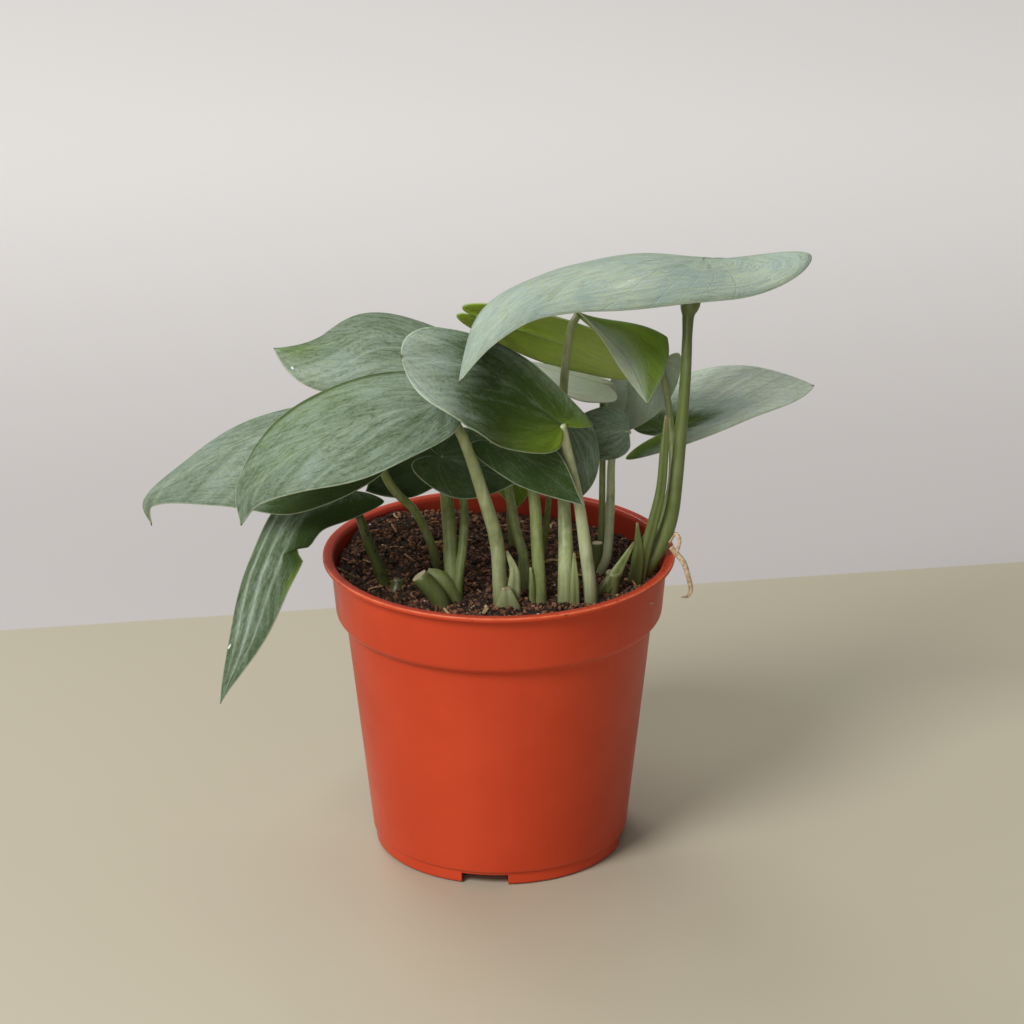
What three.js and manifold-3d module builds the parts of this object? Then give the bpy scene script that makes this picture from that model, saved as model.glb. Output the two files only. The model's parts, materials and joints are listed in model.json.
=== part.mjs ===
// Potted silver-leaved scindapsus: rooted cuttings with thick heart-shaped leaves in a 12 cm nursery pot.
// Millimetres, +Z up, origin in the middle of the pot's underside, -Y is the front.
import * as THREE from 'three';
import { mergeVertices } from 'three/addons/utils/BufferGeometryUtils.js';
import Module from 'manifold-3d';

const wasm = await Module();
wasm.setup();

// ---- driving dimensions ----
const potHeight = 105;
const lipRadius = 60;
const lipInnerRadius = 57;
const lipThickness = 1.4;
const collarTopRadius = 57.4;
const collarBottomRadius = 55.7;
const collarBottom = 84;
const wallTopRadius = 52.4;
const wallBottomRadius = 44.1;
const wallThickness = 1.2;
const footRadius = 43.2;
const footHeight = 5;
const footWidth = 3.4;
const padRadius = 12;               // flat standing pad in the middle of the underside
const floorHeight = 3;              // underside of the raised ring between pad and foot
const notchWidth = 16;
const notchHeight = 3.8;
const notchTurn = -97;              // degrees, the notch seen at the front left
const notchCount = 4;
const drainRadius = 4;
const drainCircle = 27;
const drainCount = 6;
const soilLevel = 95.5;
const soilHeap = { x: -32, y: 24, height: 5.5, reach: 14.5 };   // the mix is heaped at the left back
const bladeThickness = 0.9;
const gap = 0.3;                    // clearance between pieces that touch
const thickStalkSides = 8;
const thinStalkSides = 6;
const thinStalkRadius = 1.65;       // stalks up to this radius have the fewer sides
const notchStart = 0.03;            // first share of a blade's margin, where the stalk comes in
const edgeRound = 0.6;              // small rounding of the pot's foot

// ---- colours ----
const finishes = {
  pot: { color: 0xc4492c, roughness: 0.42 },
  soil: { color: 0x38261d, roughness: 0.95 },
  silver: { color: 0x93ad98, roughness: 0.55 },
  dark: { color: 0x3f5f3c, roughness: 0.5 },
  fresh: { color: 0x7da12c, roughness: 0.5 },
  stalk: { color: 0x7f9463, roughness: 0.5 },
  root: { color: 0xc0a47c, roughness: 0.8 },
};

// ---- leaves ----
// spine: the midrib from the stalk's joint to the tip.  face: where the upper side looks at both ends.
// Every pair below is [left, right], seen from above with the tip ahead.
// half: half width.  lobe: how far the basal lobe reaches back.  lobeOut: how far out its end lies.
// widest: place of the widest point along the midrib.  point: 0 for a blunt tip side, 1 for a drawn-out one.
// fold: rise of the half from the midrib, curl: turn of its margin, lift: rise of the lobe, all in degrees.
const leaves = {
  leaf_top: {
    finish: 'silver',
    spine: [[68.5, 9, 206], [51.5, 0, 209.5], [36, -9, 209.5], [21, -18, 207.5], [7, -29, 203.4],
      [-4, -42, 195.6],
      [-12.5, -53, 184.1]],
    face: [[0.1, 0, 1], [-0.6, -0.75, 0.4]], half: [21, 17], lobe: [36, 20], lobeOut: [13, 10],
    widest: [0.12, 0.55], point: [0.75, 0.65], fold: [-5, -10], curl: [-42, -28], lift: [35, 0],
  },
  leaf_cupped_front: {
    finish: 'dark', spine: [[21, -28, 161], [3.5, -34, 177], [-12.5, -40, 186], [-31, -46, 191]],
    face: [[0.1, -0.75, 0.6], [-0.3, -0.5, 0.8]], half: [27, 12], lobe: [3, 10], lobeOut: [7, 6],
    widest: [0.62, 0.75], point: [-0.4, -0.3], shoulder: [0.8, 0.6], fold: [3, 10], curl: [15, 5],
  },
  leaf_big_left: {
    finish: 'silver',
    spine: [[-19, -38, 172.5], [-39.5, -46, 170], [-64, -52, 160.5], [-79.5, -55.5, 148.5],
      [-83.5, -56, 136.5]],
    face: [[0, -0.5, 0.85], [-0.5, -0.6, 0.6]], half: [20, 23], lobe: [4, 4], lobeOut: [9, 11],
    widest: [0.35, 0.35], point: [0.6, 0.6], fold: [5, 5], curl: [-20, -35],
  },
  leaf_far_left: {
    finish: 'silver',
    spine: [[-45.5, -12, 158.5], [-81.5, -18, 152.5], [-104, -22, 142.5], [-117, -25, 133.5],
      [-115.5, -24, 124]],
    face: [[0, -0.6, 0.8], [-0.5, -0.6, 0.6]], half: [28, 11], lobe: [9, 12], lobeOut: [13, 6],
    widest: [0.3, 0.12], point: [0.9, 0.85], fold: [-15, -5], curl: [-20, -20],
  },
  leaf_upper_left: {
    finish: 'silver', spine: [[-19.5, -10, 180.5], [-41, -10, 186], [-59, -12, 183], [-74, -14, 183]],
    face: [[0, -0.4, 0.9], [-0.1, -0.5, 0.85]], half: [17, 14], lobe: [6, 8], lobeOut: [8, 6],
    widest: [0.65, 0.25], point: [0.2, 1.1], fold: [-5, 5], curl: [-35, -30],
  },
  leaf_hanging_left: {
    finish: 'silver',
    spine: [[-51.5, -12, 131], [-65.5, -20, 125.5], [-75, -27, 108], [-83, -31, 85], [-94, -33, 63]],
    face: [[-0.2, -0.8, 0.6], [-0.3, -0.9, 0.2]], half: [8, 10.5], lobe: [10, 8], lobeOut: [9, 7],
    widest: [0.3, 0.5], point: [0.8, 0.5], fold: [5, 5], curl: [-20, -25],
  },
  leaf_dark_back_left: {
    finish: 'dark', spine: [[-20, 8, 134.5], [-32, 4, 131], [-45, 0, 127]],
    face: [[0, -0.8, 0.5], [0, -0.8, 0.5]], half: [8, 11], lobe: [3, 3], lobeOut: [4, 5],
    widest: [0.4, 0.4], point: [0.5, 0.5], fold: [5, 5], curl: [-20, -20],
  },
  leaf_round_middle: {
    finish: 'dark', spine: [[-19.5, -12, 144], [-7, -16, 141], [7, -19, 137.5]],
    face: [[0, -0.8, 0.6], [0.2, -0.8, 0.6]], half: [13, 12], lobe: [8, 8], lobeOut: [6, 5.5],
    widest: [0.3, 0.3], point: [0.5, 0.5], fold: [5, 5], curl: [-20, -20],
  },
  leaf_pointed_front: {
    finish: 'dark', spine: [[-3, -26, 154.5], [11.5, -30, 148], [28.5, -33.5, 134]],
    face: [[-0.1, -0.7, 0.7], [0.2, -0.8, 0.5]], half: [9, 9], lobe: [5, 5], lobeOut: [4, 4],
    widest: [0.35, 0.35], point: [0.7, 0.7], fold: [10, 0], curl: [10, -20],
  },
  leaf_grey_middle: {
    finish: 'dark', spine: [[23.5, -14, 156], [25, -18, 144], [24.5, -20, 130.5]],
    face: [[0.1, -0.9, 0.3], [0.1, -0.9, 0.2]], half: [9.5, 9.5], lobe: [3, 3], lobeOut: [4.5, 4.5],
    widest: [0.4, 0.4], point: [0.2, 0.2], fold: [0, 0], curl: [-30, -30],
  },
  leaf_round_right: {
    finish: 'dark', spine: [[44, 6, 146], [34, 3, 147], [24, 3, 149.5]],
    face: [[0.3, -0.8, 0.5], [0, -0.8, 0.5]], half: [9.5, 9.5], lobe: [0.5, 0.5], lobeOut: [4.5, 4.5],
    widest: [0.36, 0.36], point: [0.3, 0.3], fold: [0, 0], curl: [-25, -25],
  },
  leaf_pale_back: {
    finish: 'silver', spine: [[35.5, 19, 158.5], [19, 15, 164.5], [4.5, 11, 170.5]],
    face: [[0, -0.2, 1], [0, -0.2, 1]], half: [10, 6], lobe: [5, 5], lobeOut: [5, 3],
    widest: [0.2, 0.2], point: [0.6, 0.6], fold: [0, 0], curl: [-45, -20],
  },
  leaf_narrow_back: {
    finish: 'silver', spine: [[39, 29, 142], [41, 30, 152], [41.5, 31, 161]],
    face: [[0.2, -0.9, 0.3], [0.2, -0.9, 0.3]], half: [4, 4], lobe: [2, 2], lobeOut: [2, 2],
    widest: [0.4, 0.4], point: [0.4, 0.4], fold: [0, 0], curl: [-30, -30],
  },
  leaf_silver_back: {
    finish: 'silver', spine: [[55.5, 30, 162.5], [49.5, 34, 149], [39.5, 36, 133.5]],
    face: [[0.1, -0.9, 0.4], [0, -0.8, 0.5]], half: [9, 9], lobe: [6, 6], lobeOut: [4, 4],
    widest: [0.3, 0.3], point: [0.5, 0.5], fold: [0, 0], curl: [-20, -20],
  },
  leaf_right: {
    finish: 'silver', spine: [[60.5, 39, 135], [85, 38, 145.5], [109, 38, 151]],
    face: [[0, -0.6, 0.8], [0.1, -0.6, 0.8]], half: [17, 7.5], lobe: [14, 19], lobeOut: [9, 5],
    widest: [0.08, 0.3], point: [0.5, 0.2], fold: [5, 0], curl: [-15, -25], lift: [-15, 5],
  },
  leaf_backlit: {
    finish: 'fresh', spine: [[-1.5, 18, 182], [24, 20, 172.5], [50.5, 22, 160]],
    face: [[0, 0.7, 0.7], [0, 0.7, 0.7]], half: [15, 18], lobe: [13, 8], lobeOut: [6, 5],
    widest: [0.35, 0.4], point: [0.1, 0.3], fold: [0, 0], curl: [-10, -10],
  },
  leaf_channelled: {
    finish: 'fresh', spine: [[27, 6, 188.3], [43, 4, 172.8], [50, -1, 158.3]],
    face: [[0.1, -0.1, 1], [0.1, -0.8, 0.4]], half: [17, 6], lobe: [0.5, 1], lobeOut: [0.5, 2],
    widest: [0.62, 0.5], point: [0.65, 0.7], shoulder: [0.05, 1], fold: [0, 25], curl: [0, 0],
  },
  leaf_young_back: {
    finish: 'fresh', spine: [[3, 18, 134.5], [5, 15, 125], [6, 13, 115.5]],
    face: [[0, -0.9, 0.3], [0, -0.9, 0.3]], half: [7, 7], lobe: [3, 3], lobeOut: [3, 3],
    widest: [0.4, 0.4], point: [0.4, 0.4], fold: [0, 0], curl: [-20, -20],
  },
};
const smallLeaves = new Set(['leaf_dark_back_left', 'leaf_grey_middle', 'leaf_round_right', 'leaf_pale_back',
  'leaf_narrow_back', 'leaf_young_back', 'leaf_pointed_front', 'leaf_round_middle', 'leaf_silver_back',
  'leaf_channelled']);

// ---- shoots ----
// Each shoot is one body of stalks, sheaths and stubs.  carries: the blades at its stalks' ends.
// A sweep is a path from the foot up, the radius at each point, and how flat the section is (1 is round).
const shoots = {
  shoot_hanging_left: {
    carries: ['leaf_hanging_left'],
    sweeps: [
      { path: [[-39, -10.7, 86], [-38.5, -10.5, 96], [-43.5, -11, 111.5], [-47.5, -11.5, 124],
        [-51.5, -12.5, 131]],
        radius: [2.5, 2.4, 1.8, 1.4, 1.2] },
      { path: [[-36, -13, 90], [-34.5, -13.5, 96], [-34, -13.5, 100]], radius: [3, 3.6, 1.6] },
    ],
  },
  shoot_far_left: {
    carries: ['leaf_far_left'],
    sweeps: [{
      path: [[-20.5, 3, 86], [-21, 3, 96.5], [-23.5, 1, 108.5], [-28.5, -3, 121], [-37, -8, 133.5],
        [-45.5, -12, 158.5]],
      radius: [1.7, 1.7, 1.5, 1.5, 1.5, 1.2],
    }],
  },
  shoot_upper_left: {
    carries: ['leaf_upper_left', 'leaf_round_middle'],
    sweeps: [
      { path: [[-14, -21, 86], [-15.5, -21, 99], [-16.5, -14, 118], [-17.5, -8, 128.5], [-18, -2, 142.5],
        [-19, -3, 160.5], [-19.5, -10, 180.5]], radius: [2.5, 2.5, 2.4, 2.2, 1.8, 1.5, 1.3] },
      { path: [[-12, -22.5, 88], [-16, -22.5, 98], [-20, -23, 104.5], [-24, -23, 106.5]],
        radius: [3, 3.2, 2.8, 1.6] },
      { path: [[-13.5, -21.5, 96], [-13.6, -21.5, 102], [-12.2, -18, 112.5], [-11.5, -14, 121.5],
        [-12, -10, 129], [-14.5, -8, 139], [-19.5, -12, 144]], radius: [1.6, 1.6, 1.6, 1.5, 1.4, 1.2, 1.1] },
    ],
  },
  shoot_dark_back_left: {
    carries: ['leaf_dark_back_left'],
    sweeps: [{
      path: [[-16, -5, 86], [-17, -5, 103.5], [-17.5, 5, 114.5], [-17.5, 11, 123], [-20, 9, 134]],
      radius: [1.2, 1.2, 1.1, 1.1, 1],
    }],
  },
  shoot_big_left: {
    carries: ['leaf_big_left'],
    sweeps: [
      { path: [[1.5, -27, 86], [0.5, -27, 98], [-0.5, -28, 118.5], [-4.5, -31, 135.5], [-11.5, -35, 159],
        [-19, -38, 172.5]], radius: [2.4, 2.4, 2.4, 2.2, 1.8, 1.3] },
      { path: [[4, -27.5, 88], [5, -27.5, 102], [5.2, -27.8, 109], [2.6, -27.5, 116]],
        radius: [2, 2.4, 1.6, 0.5], flat: 0.6 },
      { path: [[3, -30, 88], [3, -31, 97], [2.4, -31, 104.5]], radius: [4.2, 4.4, 1.4], flat: 0.45 },
    ],
  },
  shoot_backlit: {
    carries: ['leaf_backlit'],
    sweeps: [
      { path: [[6, -13, 86], [6.5, -13, 96], [8.5, -11, 106], [6, -8, 115.5], [3.5, -1, 127.5], [0.5, 8, 146],
        [-1.5, 18, 182]], radius: [2, 2, 1.8, 1.6, 1.5, 1.4, 1.2] },
      { path: [[9, -14, 88], [9.4, -14, 98], [8.5, -12.5, 107], [8, -11, 112]], radius: [1.6, 2, 1.6, 0.5],
        flat: 0.7 },
    ],
  },
  shoot_pointed_front: {
    carries: ['leaf_pointed_front'],
    sweeps: [
      { path: [[14, -24, 86], [14, -24.5, 96], [13, -22, 114], [11.5, -19, 134.5], [6.5, -20, 148.5],
        [-3, -26, 154.5]], radius: [2.3, 2.2, 2.1, 1.9, 1.5, 1.2] },
      { path: [[11.6, -25, 90], [11.2, -25.2, 102], [10.6, -25, 109]], radius: [1.4, 1.2, 0.4] },
    ],
  },
  shoot_grey_middle: {
    carries: ['leaf_grey_middle'],
    sweeps: [{
      path: [[14, 11, 86], [15, 10, 100], [16, 8, 108], [17, 0, 123.5], [19, -9.5, 141.5], [23.5, -14, 156]],
      radius: [1.1, 1.1, 1.1, 1, 1, 1],
    }],
  },
  shoot_channelled: {
    carries: ['leaf_channelled'],
    sweeps: [
      { path: [[22.5, -25, 86], [22.5, -25, 95.5], [22.5, -21, 112], [22, -12, 127], [21.5, -3, 146.8],
        [21, -1.5, 165.7], [23.5, 1, 182.8], [26.6, 5.2, 187.7]],
        radius: [3, 2.9, 2.6, 2.1, 1.6, 1.45, 1.4, 1.3] },
      { path: [[25.6, -27, 90], [25.4, -27.4, 104], [25.2, -27, 115]], radius: [1.7, 1.5, 0.4], flat: 0.7 },
    ],
  },
  shoot_cupped_front: {
    carries: ['leaf_cupped_front'],
    sweeps: [{
      path: [[30.8, -24, 86], [31, -24.5, 96], [29.5, -24.5, 111.5], [26.5, -25, 133.5], [22.5, -26, 153],
        [21, -28, 161]],
      radius: [2.4, 2.4, 2.2, 1.8, 1.6, 1.4],
    }],
  },
  shoot_round_right: {
    carries: ['leaf_round_right'],
    sweeps: [{
      path: [[34, 0, 86], [34.5, 0, 96], [37, 0.5, 104], [38, 4, 122], [38.5, 9, 135], [41, 9.5, 142],
        [44, 6, 146]],
      radius: [1.6, 1.6, 1.6, 1.5, 1.3, 1.2, 1.1],
    }],
  },
  shoot_pale_back: {
    carries: ['leaf_pale_back'],
    sweeps: [{
      path: [[33, 12, 86], [35, 12, 102], [35.5, 16, 128], [35.5, 18, 145], [35.5, 19, 158.5]],
      radius: [1.2, 1.2, 1.1, 1.1, 1],
    }],
  },
  shoot_narrow_back: {
    carries: ['leaf_narrow_back'],
    sweeps: [{
      path: [[37, 18, 86], [38, 18, 100], [38.5, 24, 125.5], [39, 29, 142]], radius: [1, 1, 1, 0.9],
    }],
  },
  shoot_silver_back: {
    carries: ['leaf_silver_back'],
    sweeps: [{
      path: [[47, 9, 86], [52, 9, 103], [57, 12, 115], [59.5, 18, 127.5], [58.5, 27, 146.5],
        [55.5, 30, 162.5]],
      radius: [1.4, 1.4, 1.4, 1.3, 1.2, 1.1],
    }],
  },
  shoot_right: {
    carries: ['leaf_right'],
    sweeps: [{
      path: [[45, 15.5, 86], [50, 15.5, 102], [57, 19.5, 113], [61, 27, 124.5], [61, 33, 131],
        [60.5, 39, 135]],
      radius: [1.4, 1.4, 1.4, 1.3, 1.2, 1.2],
    }],
  },
  shoot_top: {
    carries: ['leaf_top'],
    sweeps: [
      { path: [[44.5, -6, 86], [48.5, -5, 97.5], [54, -4.5, 107], [58, -4, 118], [60, -3.5, 133],
        [62.5, -1, 164], [63.5, 4, 188], [68.5, 9, 205.5]], radius: [3, 3, 2.8, 2.6, 2.3, 1.9, 1.8, 1.7] },
      { path: [[46, -8.5, 88], [48.5, -8.5, 104], [51.5, -8, 116], [54.6, -7.5, 130], [55.6, -6.8, 144],
        [56.2, -6, 156]], radius: [2.4, 2.4, 1.9, 1.7, 1.5, 0.5], flat: 0.75 },
      { path: [[45, -9.5, 88], [47, -10, 106], [46.7, -9.5, 119]], radius: [2.4, 2.2, 0.4], flat: 0.6 },
    ],
  },
  shoot_young_back: {
    carries: ['leaf_young_back'],
    sweeps: [{
      path: [[4, 22, 86], [4.5, 22, 95], [3.5, 21, 115.5], [3, 18, 134.5]], radius: [1.2, 1.2, 1, 0.9],
    }],
  },
  stub_front_left: {
    sweeps: [{ path: [[-18.6, -28, 88], [-19.6, -28, 98], [-26.6, -28, 107.5]], radius: [3, 3, 2.8] }],
  },
  stub_front_right: {
    sweeps: [
      { path: [[37.5, -17, 88], [38, -17, 96], [38.6, -17, 104]], radius: [2.4, 2.4, 2.6] },
      { path: [[34, -20, 88], [34, -20, 96], [39.2, -18, 103.6], [45.6, -14, 113.7]],
        radius: [2.2, 2.4, 2.2, 0.4], flat: 0.45 },
    ],
  },
  stub_back_right: {
    sweeps: [{ path: [[33.6, 5, 88], [33.6, 5, 98], [33.6, 5, 106]], radius: [2.1, 2.1, 1.8] }],
  },
};

// The aerial root leaves the thick right stem, passes over the lip and hangs outside the pot.
const aerialRoot = {
  path: [[58.2, -8.2, 109.5], [60.1, -8.5, 107.2], [62.6, -8.8, 104], [64.3, -9, 98.6], [65.1, -9, 94.2],
    [64, -9.5, 92], [61.9, -11, 92.3]],
  radius: [0.8, 0.8, 0.75, 0.7, 0.6, 0.5, 0.4],
};

// ---- helpers ----
const radians = THREE.MathUtils.degToRad;
const vector = ([x, y, z]) => new THREE.Vector3(x, y, z);

/** Builds a geometry from points and index triples. */
function meshFrom(points, triangles) {
  const geometry = new THREE.BufferGeometry();
  const positions = points.flatMap((p) => [p.x, p.y, p.z]);
  geometry.setAttribute('position', new THREE.Float32BufferAttribute(positions, 3));
  geometry.setIndex(triangles.flat());
  return geometry;
}

function toSolid(geometry) {
  const bare = geometry.clone();
  bare.deleteAttribute('normal');
  bare.deleteAttribute('uv');
  const merged = mergeVertices(bare, 1e-3);
  const corners = merged.index.array;
  const kept = [];
  for (let i = 0; i < corners.length; i += 3) {
    const [a, b, c] = [corners[i], corners[i + 1], corners[i + 2]];
    if (a !== b && b !== c && c !== a) kept.push(a, b, c);
  }
  return new wasm.Manifold(new wasm.Mesh({
    numProp: 3,
    vertProperties: new Float32Array(merged.attributes.position.array),
    triVerts: new Uint32Array(kept),
  }));
}

function toGeometry(solid) {
  const { numProp, vertProperties, triVerts } = solid.getMesh();
  const positions = [];
  for (let i = 0; i < vertProperties.length; i += numProp) {
    positions.push(vertProperties[i], vertProperties[i + 1], vertProperties[i + 2]);
  }
  const geometry = new THREE.BufferGeometry();
  geometry.setAttribute('position', new THREE.Float32BufferAttribute(positions, 3));
  geometry.setIndex(Array.from(triVerts));
  return geometry;
}

/** The largest of a solid's separate bodies: what a cut leaves loose is dropped. */
function largestPiece(solid) {
  const pieces = solid.decompose();
  return pieces.reduce((best, piece) => (piece.volume() > best.volume() ? piece : best));
}

/** Cubic Hermite blend between two values with their slopes. */
function hermite(from, fromSlope, to, toSlope, t) {
  const t2 = t * t;
  const t3 = t2 * t;
  return (2 * t3 - 3 * t2 + 1) * from + (t3 - 2 * t2 + t) * fromSlope
    + (3 * t2 - 2 * t3) * to + (t3 - t2) * toSlope;
}

// ---- leaf blades ----
const lobeShare = 0.24;             // share of the margin that runs back round the lobe
const widestShare = 0.52;           // share of the margin reached at the widest point

/** Margin point of one half: [along the midrib, out from it], for s from the notch (0) to the tip (1). */
function marginPoint(s, length, half) {
  const { width, lobe, lobeOut, widest, point, shoulder } = half;
  if (s <= lobeShare) {
    const t = s / lobeShare;
    return [
      hermite(0, -1.3 * lobe, -lobe, 0, t),
      hermite(0, 0.15 * width, lobeOut, 0.55 * width * shoulder, t),
    ];
  }
  if (s <= widestShare) {
    const t = (s - lobeShare) / (widestShare - lobeShare);
    return [
      hermite(-lobe, 0, widest * length, 1.25 * (widest * length + lobe) * shoulder, t),
      hermite(lobeOut, 0.85 * width * shoulder, width, 0, t),
    ];
  }
  const t = (s - widestShare) / (1 - widestShare);
  const rest = (1 - widest) * length;
  return [
    hermite(widest * length, 1.2 * rest * shoulder, length, rest * (0.25 + 0.95 * point), t),
    hermite(width, 0, 0, -width * (2.4 - 2.1 * point), t),
  ];
}

/** A function that lays blade coordinates [along, out] of one half into space. */
function bladeSurface(leaf, side) {
  const curve = new THREE.CatmullRomCurve3(leaf.spine.map(vector), false, 'catmullrom', 0.5);
  const length = curve.getLength();
  const [faceBase, faceTip] = leaf.face.map((face) => vector(face).normalize());
  const sign = side === 0 ? 1 : -1;
  const fold = radians(leaf.fold[side]);
  const turn = radians(leaf.curl[side]) / leaf.half[side];
  const lift = radians(leaf.lift ? leaf.lift[side] : 0);
  const place = (along, out) => {
    const u = THREE.MathUtils.clamp(along / length, 0, 1);
    const spot = curve.getPointAt(u);
    const tangent = curve.getTangentAt(u);
    const normal = faceBase.clone().lerp(faceTip, u);
    normal.addScaledVector(tangent, -normal.dot(tangent)).normalize();
    const across = new THREE.Vector3().crossVectors(normal, tangent).multiplyScalar(sign);
    if (along < 0) {
      const rise = (lift * -along) / leaf.lobe[side] / 2;
      spot.addScaledVector(tangent, along * Math.cos(rise)).addScaledVector(normal, -along * Math.sin(rise));
    }
    const flat = Math.abs(turn) < 1e-5;
    const outward = flat ? out * Math.cos(fold) : (Math.sin(fold + turn * out) - Math.sin(fold)) / turn;
    const upward = flat ? out * Math.sin(fold) : (Math.cos(fold) - Math.cos(fold + turn * out)) / turn;
    return spot.addScaledVector(across, outward).addScaledVector(normal, upward);
  };
  return { place, length };
}

/** Middle surface of a blade: rows from notch to tip, columns from the left margin to the right one. */
function bladeGrid(leaf, rows, columns) {
  const sides = [0, 1].map((side) => ({
    ...bladeSurface(leaf, side),
    half: {
      width: leaf.half[side],
      lobe: leaf.lobe[side],
      lobeOut: leaf.lobeOut[side],
      widest: leaf.widest[side],
      point: leaf.point[side],
      shoulder: leaf.shoulder ? leaf.shoulder[side] : 1,
    },
  }));
  const grid = [];
  for (let r = 0; r <= rows; r += 1) {
    const s = notchStart + ((1 - notchStart) * r) / rows;
    const row = [];
    for (let c = -columns; c <= columns; c += 1) {
      const { place, length, half } = sides[c < 0 ? 0 : 1];
      const [along, out] = marginPoint(s, length, half);
      let rib = r === 0 ? 0 : length * (0.35 * s + 0.65 * s * s);
      if (r === rows) rib = length;
      const share = Math.abs(c) / columns;
      row.push(place(rib + (along - rib) * share, out * share));
    }
    grid.push(row);
  }
  return grid;
}

/** A closed blade of even thickness round the middle surface, both faces split alike. */
function bladeGeometry(leaf, rows, columns, thickness) {
  const grid = bladeGrid(leaf, rows, columns);
  const wide = 2 * columns + 1;
  const normalAt = (r, c) => {
    const along = grid[Math.min(r + 1, rows)][c].clone().sub(grid[Math.max(r - 1, 0)][c]);
    const nextRow = Math.min(r, rows - 1);
    const across = grid[nextRow][Math.min(c + 1, wide - 1)].clone().sub(grid[nextRow][Math.max(c - 1, 0)]);
    return along.cross(across).normalize().negate();
  };
  const points = [];
  const tip = rows * wide;
  const face = tip + 1;
  for (const sign of [1, -1]) {
    for (let r = 0; r < rows; r += 1) {
      for (let c = 0; c < wide; c += 1) {
        points.push(grid[r][c].clone().addScaledVector(normalAt(r, c), (sign * thickness) / 2));
      }
    }
    const tipSpot = grid[rows][columns].clone();
    points.push(tipSpot.addScaledVector(normalAt(rows - 1, columns), (sign * thickness) / 2));
  }
  const id = (r, c) => (r < rows ? r * wide + c : tip);
  const triangles = [];
  const addBoth = (a, b, c) => {
    triangles.push([a, b, c], [a + face, c + face, b + face]);
  };
  for (let r = 0; r < rows; r += 1) {
    for (let c = 0; c < wide - 1; c += 1) {
      addBoth(id(r, c), id(r, c + 1), id(r + 1, c + 1));
      if (r < rows - 1) addBoth(id(r, c), id(r + 1, c + 1), id(r + 1, c));
    }
  }
  // the rim: down the right margin, back up the left one and across the notch
  const rim = [];
  for (let r = 0; r < rows; r += 1) rim.push(id(r, wide - 1));
  rim.push(tip);
  for (let r = rows - 1; r >= 0; r -= 1) rim.push(id(r, 0));
  for (let c = 1; c < wide - 1; c += 1) rim.push(id(0, c));
  rim.forEach((a, i) => {
    const b = rim[(i + 1) % rim.length];
    triangles.push([b, a, a + face], [b, a + face, b + face]);
  });
  return meshFrom(points, triangles);
}

// ---- stalks, sheaths, stubs and roots ----
/** A closed tapering sweep with an oval section, its thin side towards the front. */
function sweepGeometry({ path, radius, flat = 1 }, grow = 0) {
  const knots = path.map(vector);
  if (grow > 0) knots[0].z -= grow;
  const curve = new THREE.CatmullRomCurve3(knots, false, 'catmullrom', 0.5);
  const sides = Math.max(...radius) <= thinStalkRadius ? thinStalkSides : thickStalkSides;
  const spans = path.length - 1;
  const rings = 2 * spans - 1;
  const front = new THREE.Vector3(0, -1, 0.01);
  const points = [];
  for (let i = 0; i <= rings; i += 1) {
    const place = i === 0 ? 0 : (i + 1) / 2;
    const knot = Math.min(Math.floor(place), spans - 1);
    const r = THREE.MathUtils.lerp(radius[knot], radius[knot + 1], place - knot) + grow;
    const t = place / spans;
    const tangent = curve.getTangent(t);
    const thin = front.clone().addScaledVector(tangent, -front.dot(tangent)).normalize();
    const broad = new THREE.Vector3().crossVectors(tangent, thin);
    const centre = curve.getPoint(t);
    for (let k = 0; k < sides; k += 1) {
      const angle = (2 * Math.PI * k) / sides;
      points.push(centre.clone()
        .addScaledVector(broad, r * Math.cos(angle))
        .addScaledVector(thin, -(r * flat + grow * (1 - flat)) * Math.sin(angle)));
    }
  }
  const first = points.push(curve.getPoint(0)) - 1;
  const last = points.push(curve.getPoint(1)) - 1;
  const triangles = [];
  for (let k = 0; k < sides; k += 1) {
    const next = (k + 1) % sides;
    for (let i = 0; i < rings; i += 1) {
      const [a, b] = [i * sides + k, i * sides + next];
      triangles.push([a, b + sides, b], [a, a + sides, b + sides]);
    }
    triangles.push([first, k, next], [last, rings * sides + next, rings * sides + k]);
  }
  return meshFrom(points, triangles);
}

/** A solid whose triangles point out, whichever way the sweep wound them. */
function outward(geometry) {
  const solid = toSolid(geometry);
  if (solid.volume() > 0) return solid;
  const flipped = geometry.clone();
  const corners = flipped.index.array;
  for (let i = 0; i < corners.length; i += 3) [corners[i], corners[i + 1]] = [corners[i + 1], corners[i]];
  return toSolid(flipped);
}

/** The blade grown by the gap on both faces and round its notch, where the stalk comes in. */
function bladeClearance(name) {
  const leaf = leaves[name];
  const grown = bladeGeometry(leaf, ...bladeDetail(name), bladeThickness + 2 * gap);
  const back = vector(leaf.spine[0]).sub(vector(leaf.spine[1])).setLength(1.3 * gap);
  const across = new THREE.Vector3().crossVectors(vector(leaf.face[0]), back).setLength(gap);
  const moves = [[0, 0], [1, 0], [0.7, 1], [0.7, -1]];
  return moves.map(([b, a]) => {
    const move = back.clone().multiplyScalar(b).addScaledVector(across, a);
    return outward(grown.clone().translate(move.x, move.y, move.z));
  }).reduce((all, one) => all.add(one));
}

function shootSolid({ carries = [], sweeps }, grow = 0) {
  const whole = sweeps.map((sweep) => outward(sweepGeometry(sweep, grow))).reduce((all, one) => all.add(one));
  if (grow > 0) return whole;
  return carries.reduce((rest, name) => largestPiece(rest.subtract(bladeClearance(name))), whole);
}

function bladeDetail(name) {
  return smallLeaves.has(name) ? [10, 2] : [14, 3];
}

// ---- pot ----
const potSegments = 48;

const { mapLinear } = THREE.MathUtils;

/** Wall radius at a height between the foot and the collar's step. */
const wallRadius = (z) => mapLinear(z, footHeight, collarBottom, wallBottomRadius, wallTopRadius);

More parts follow.
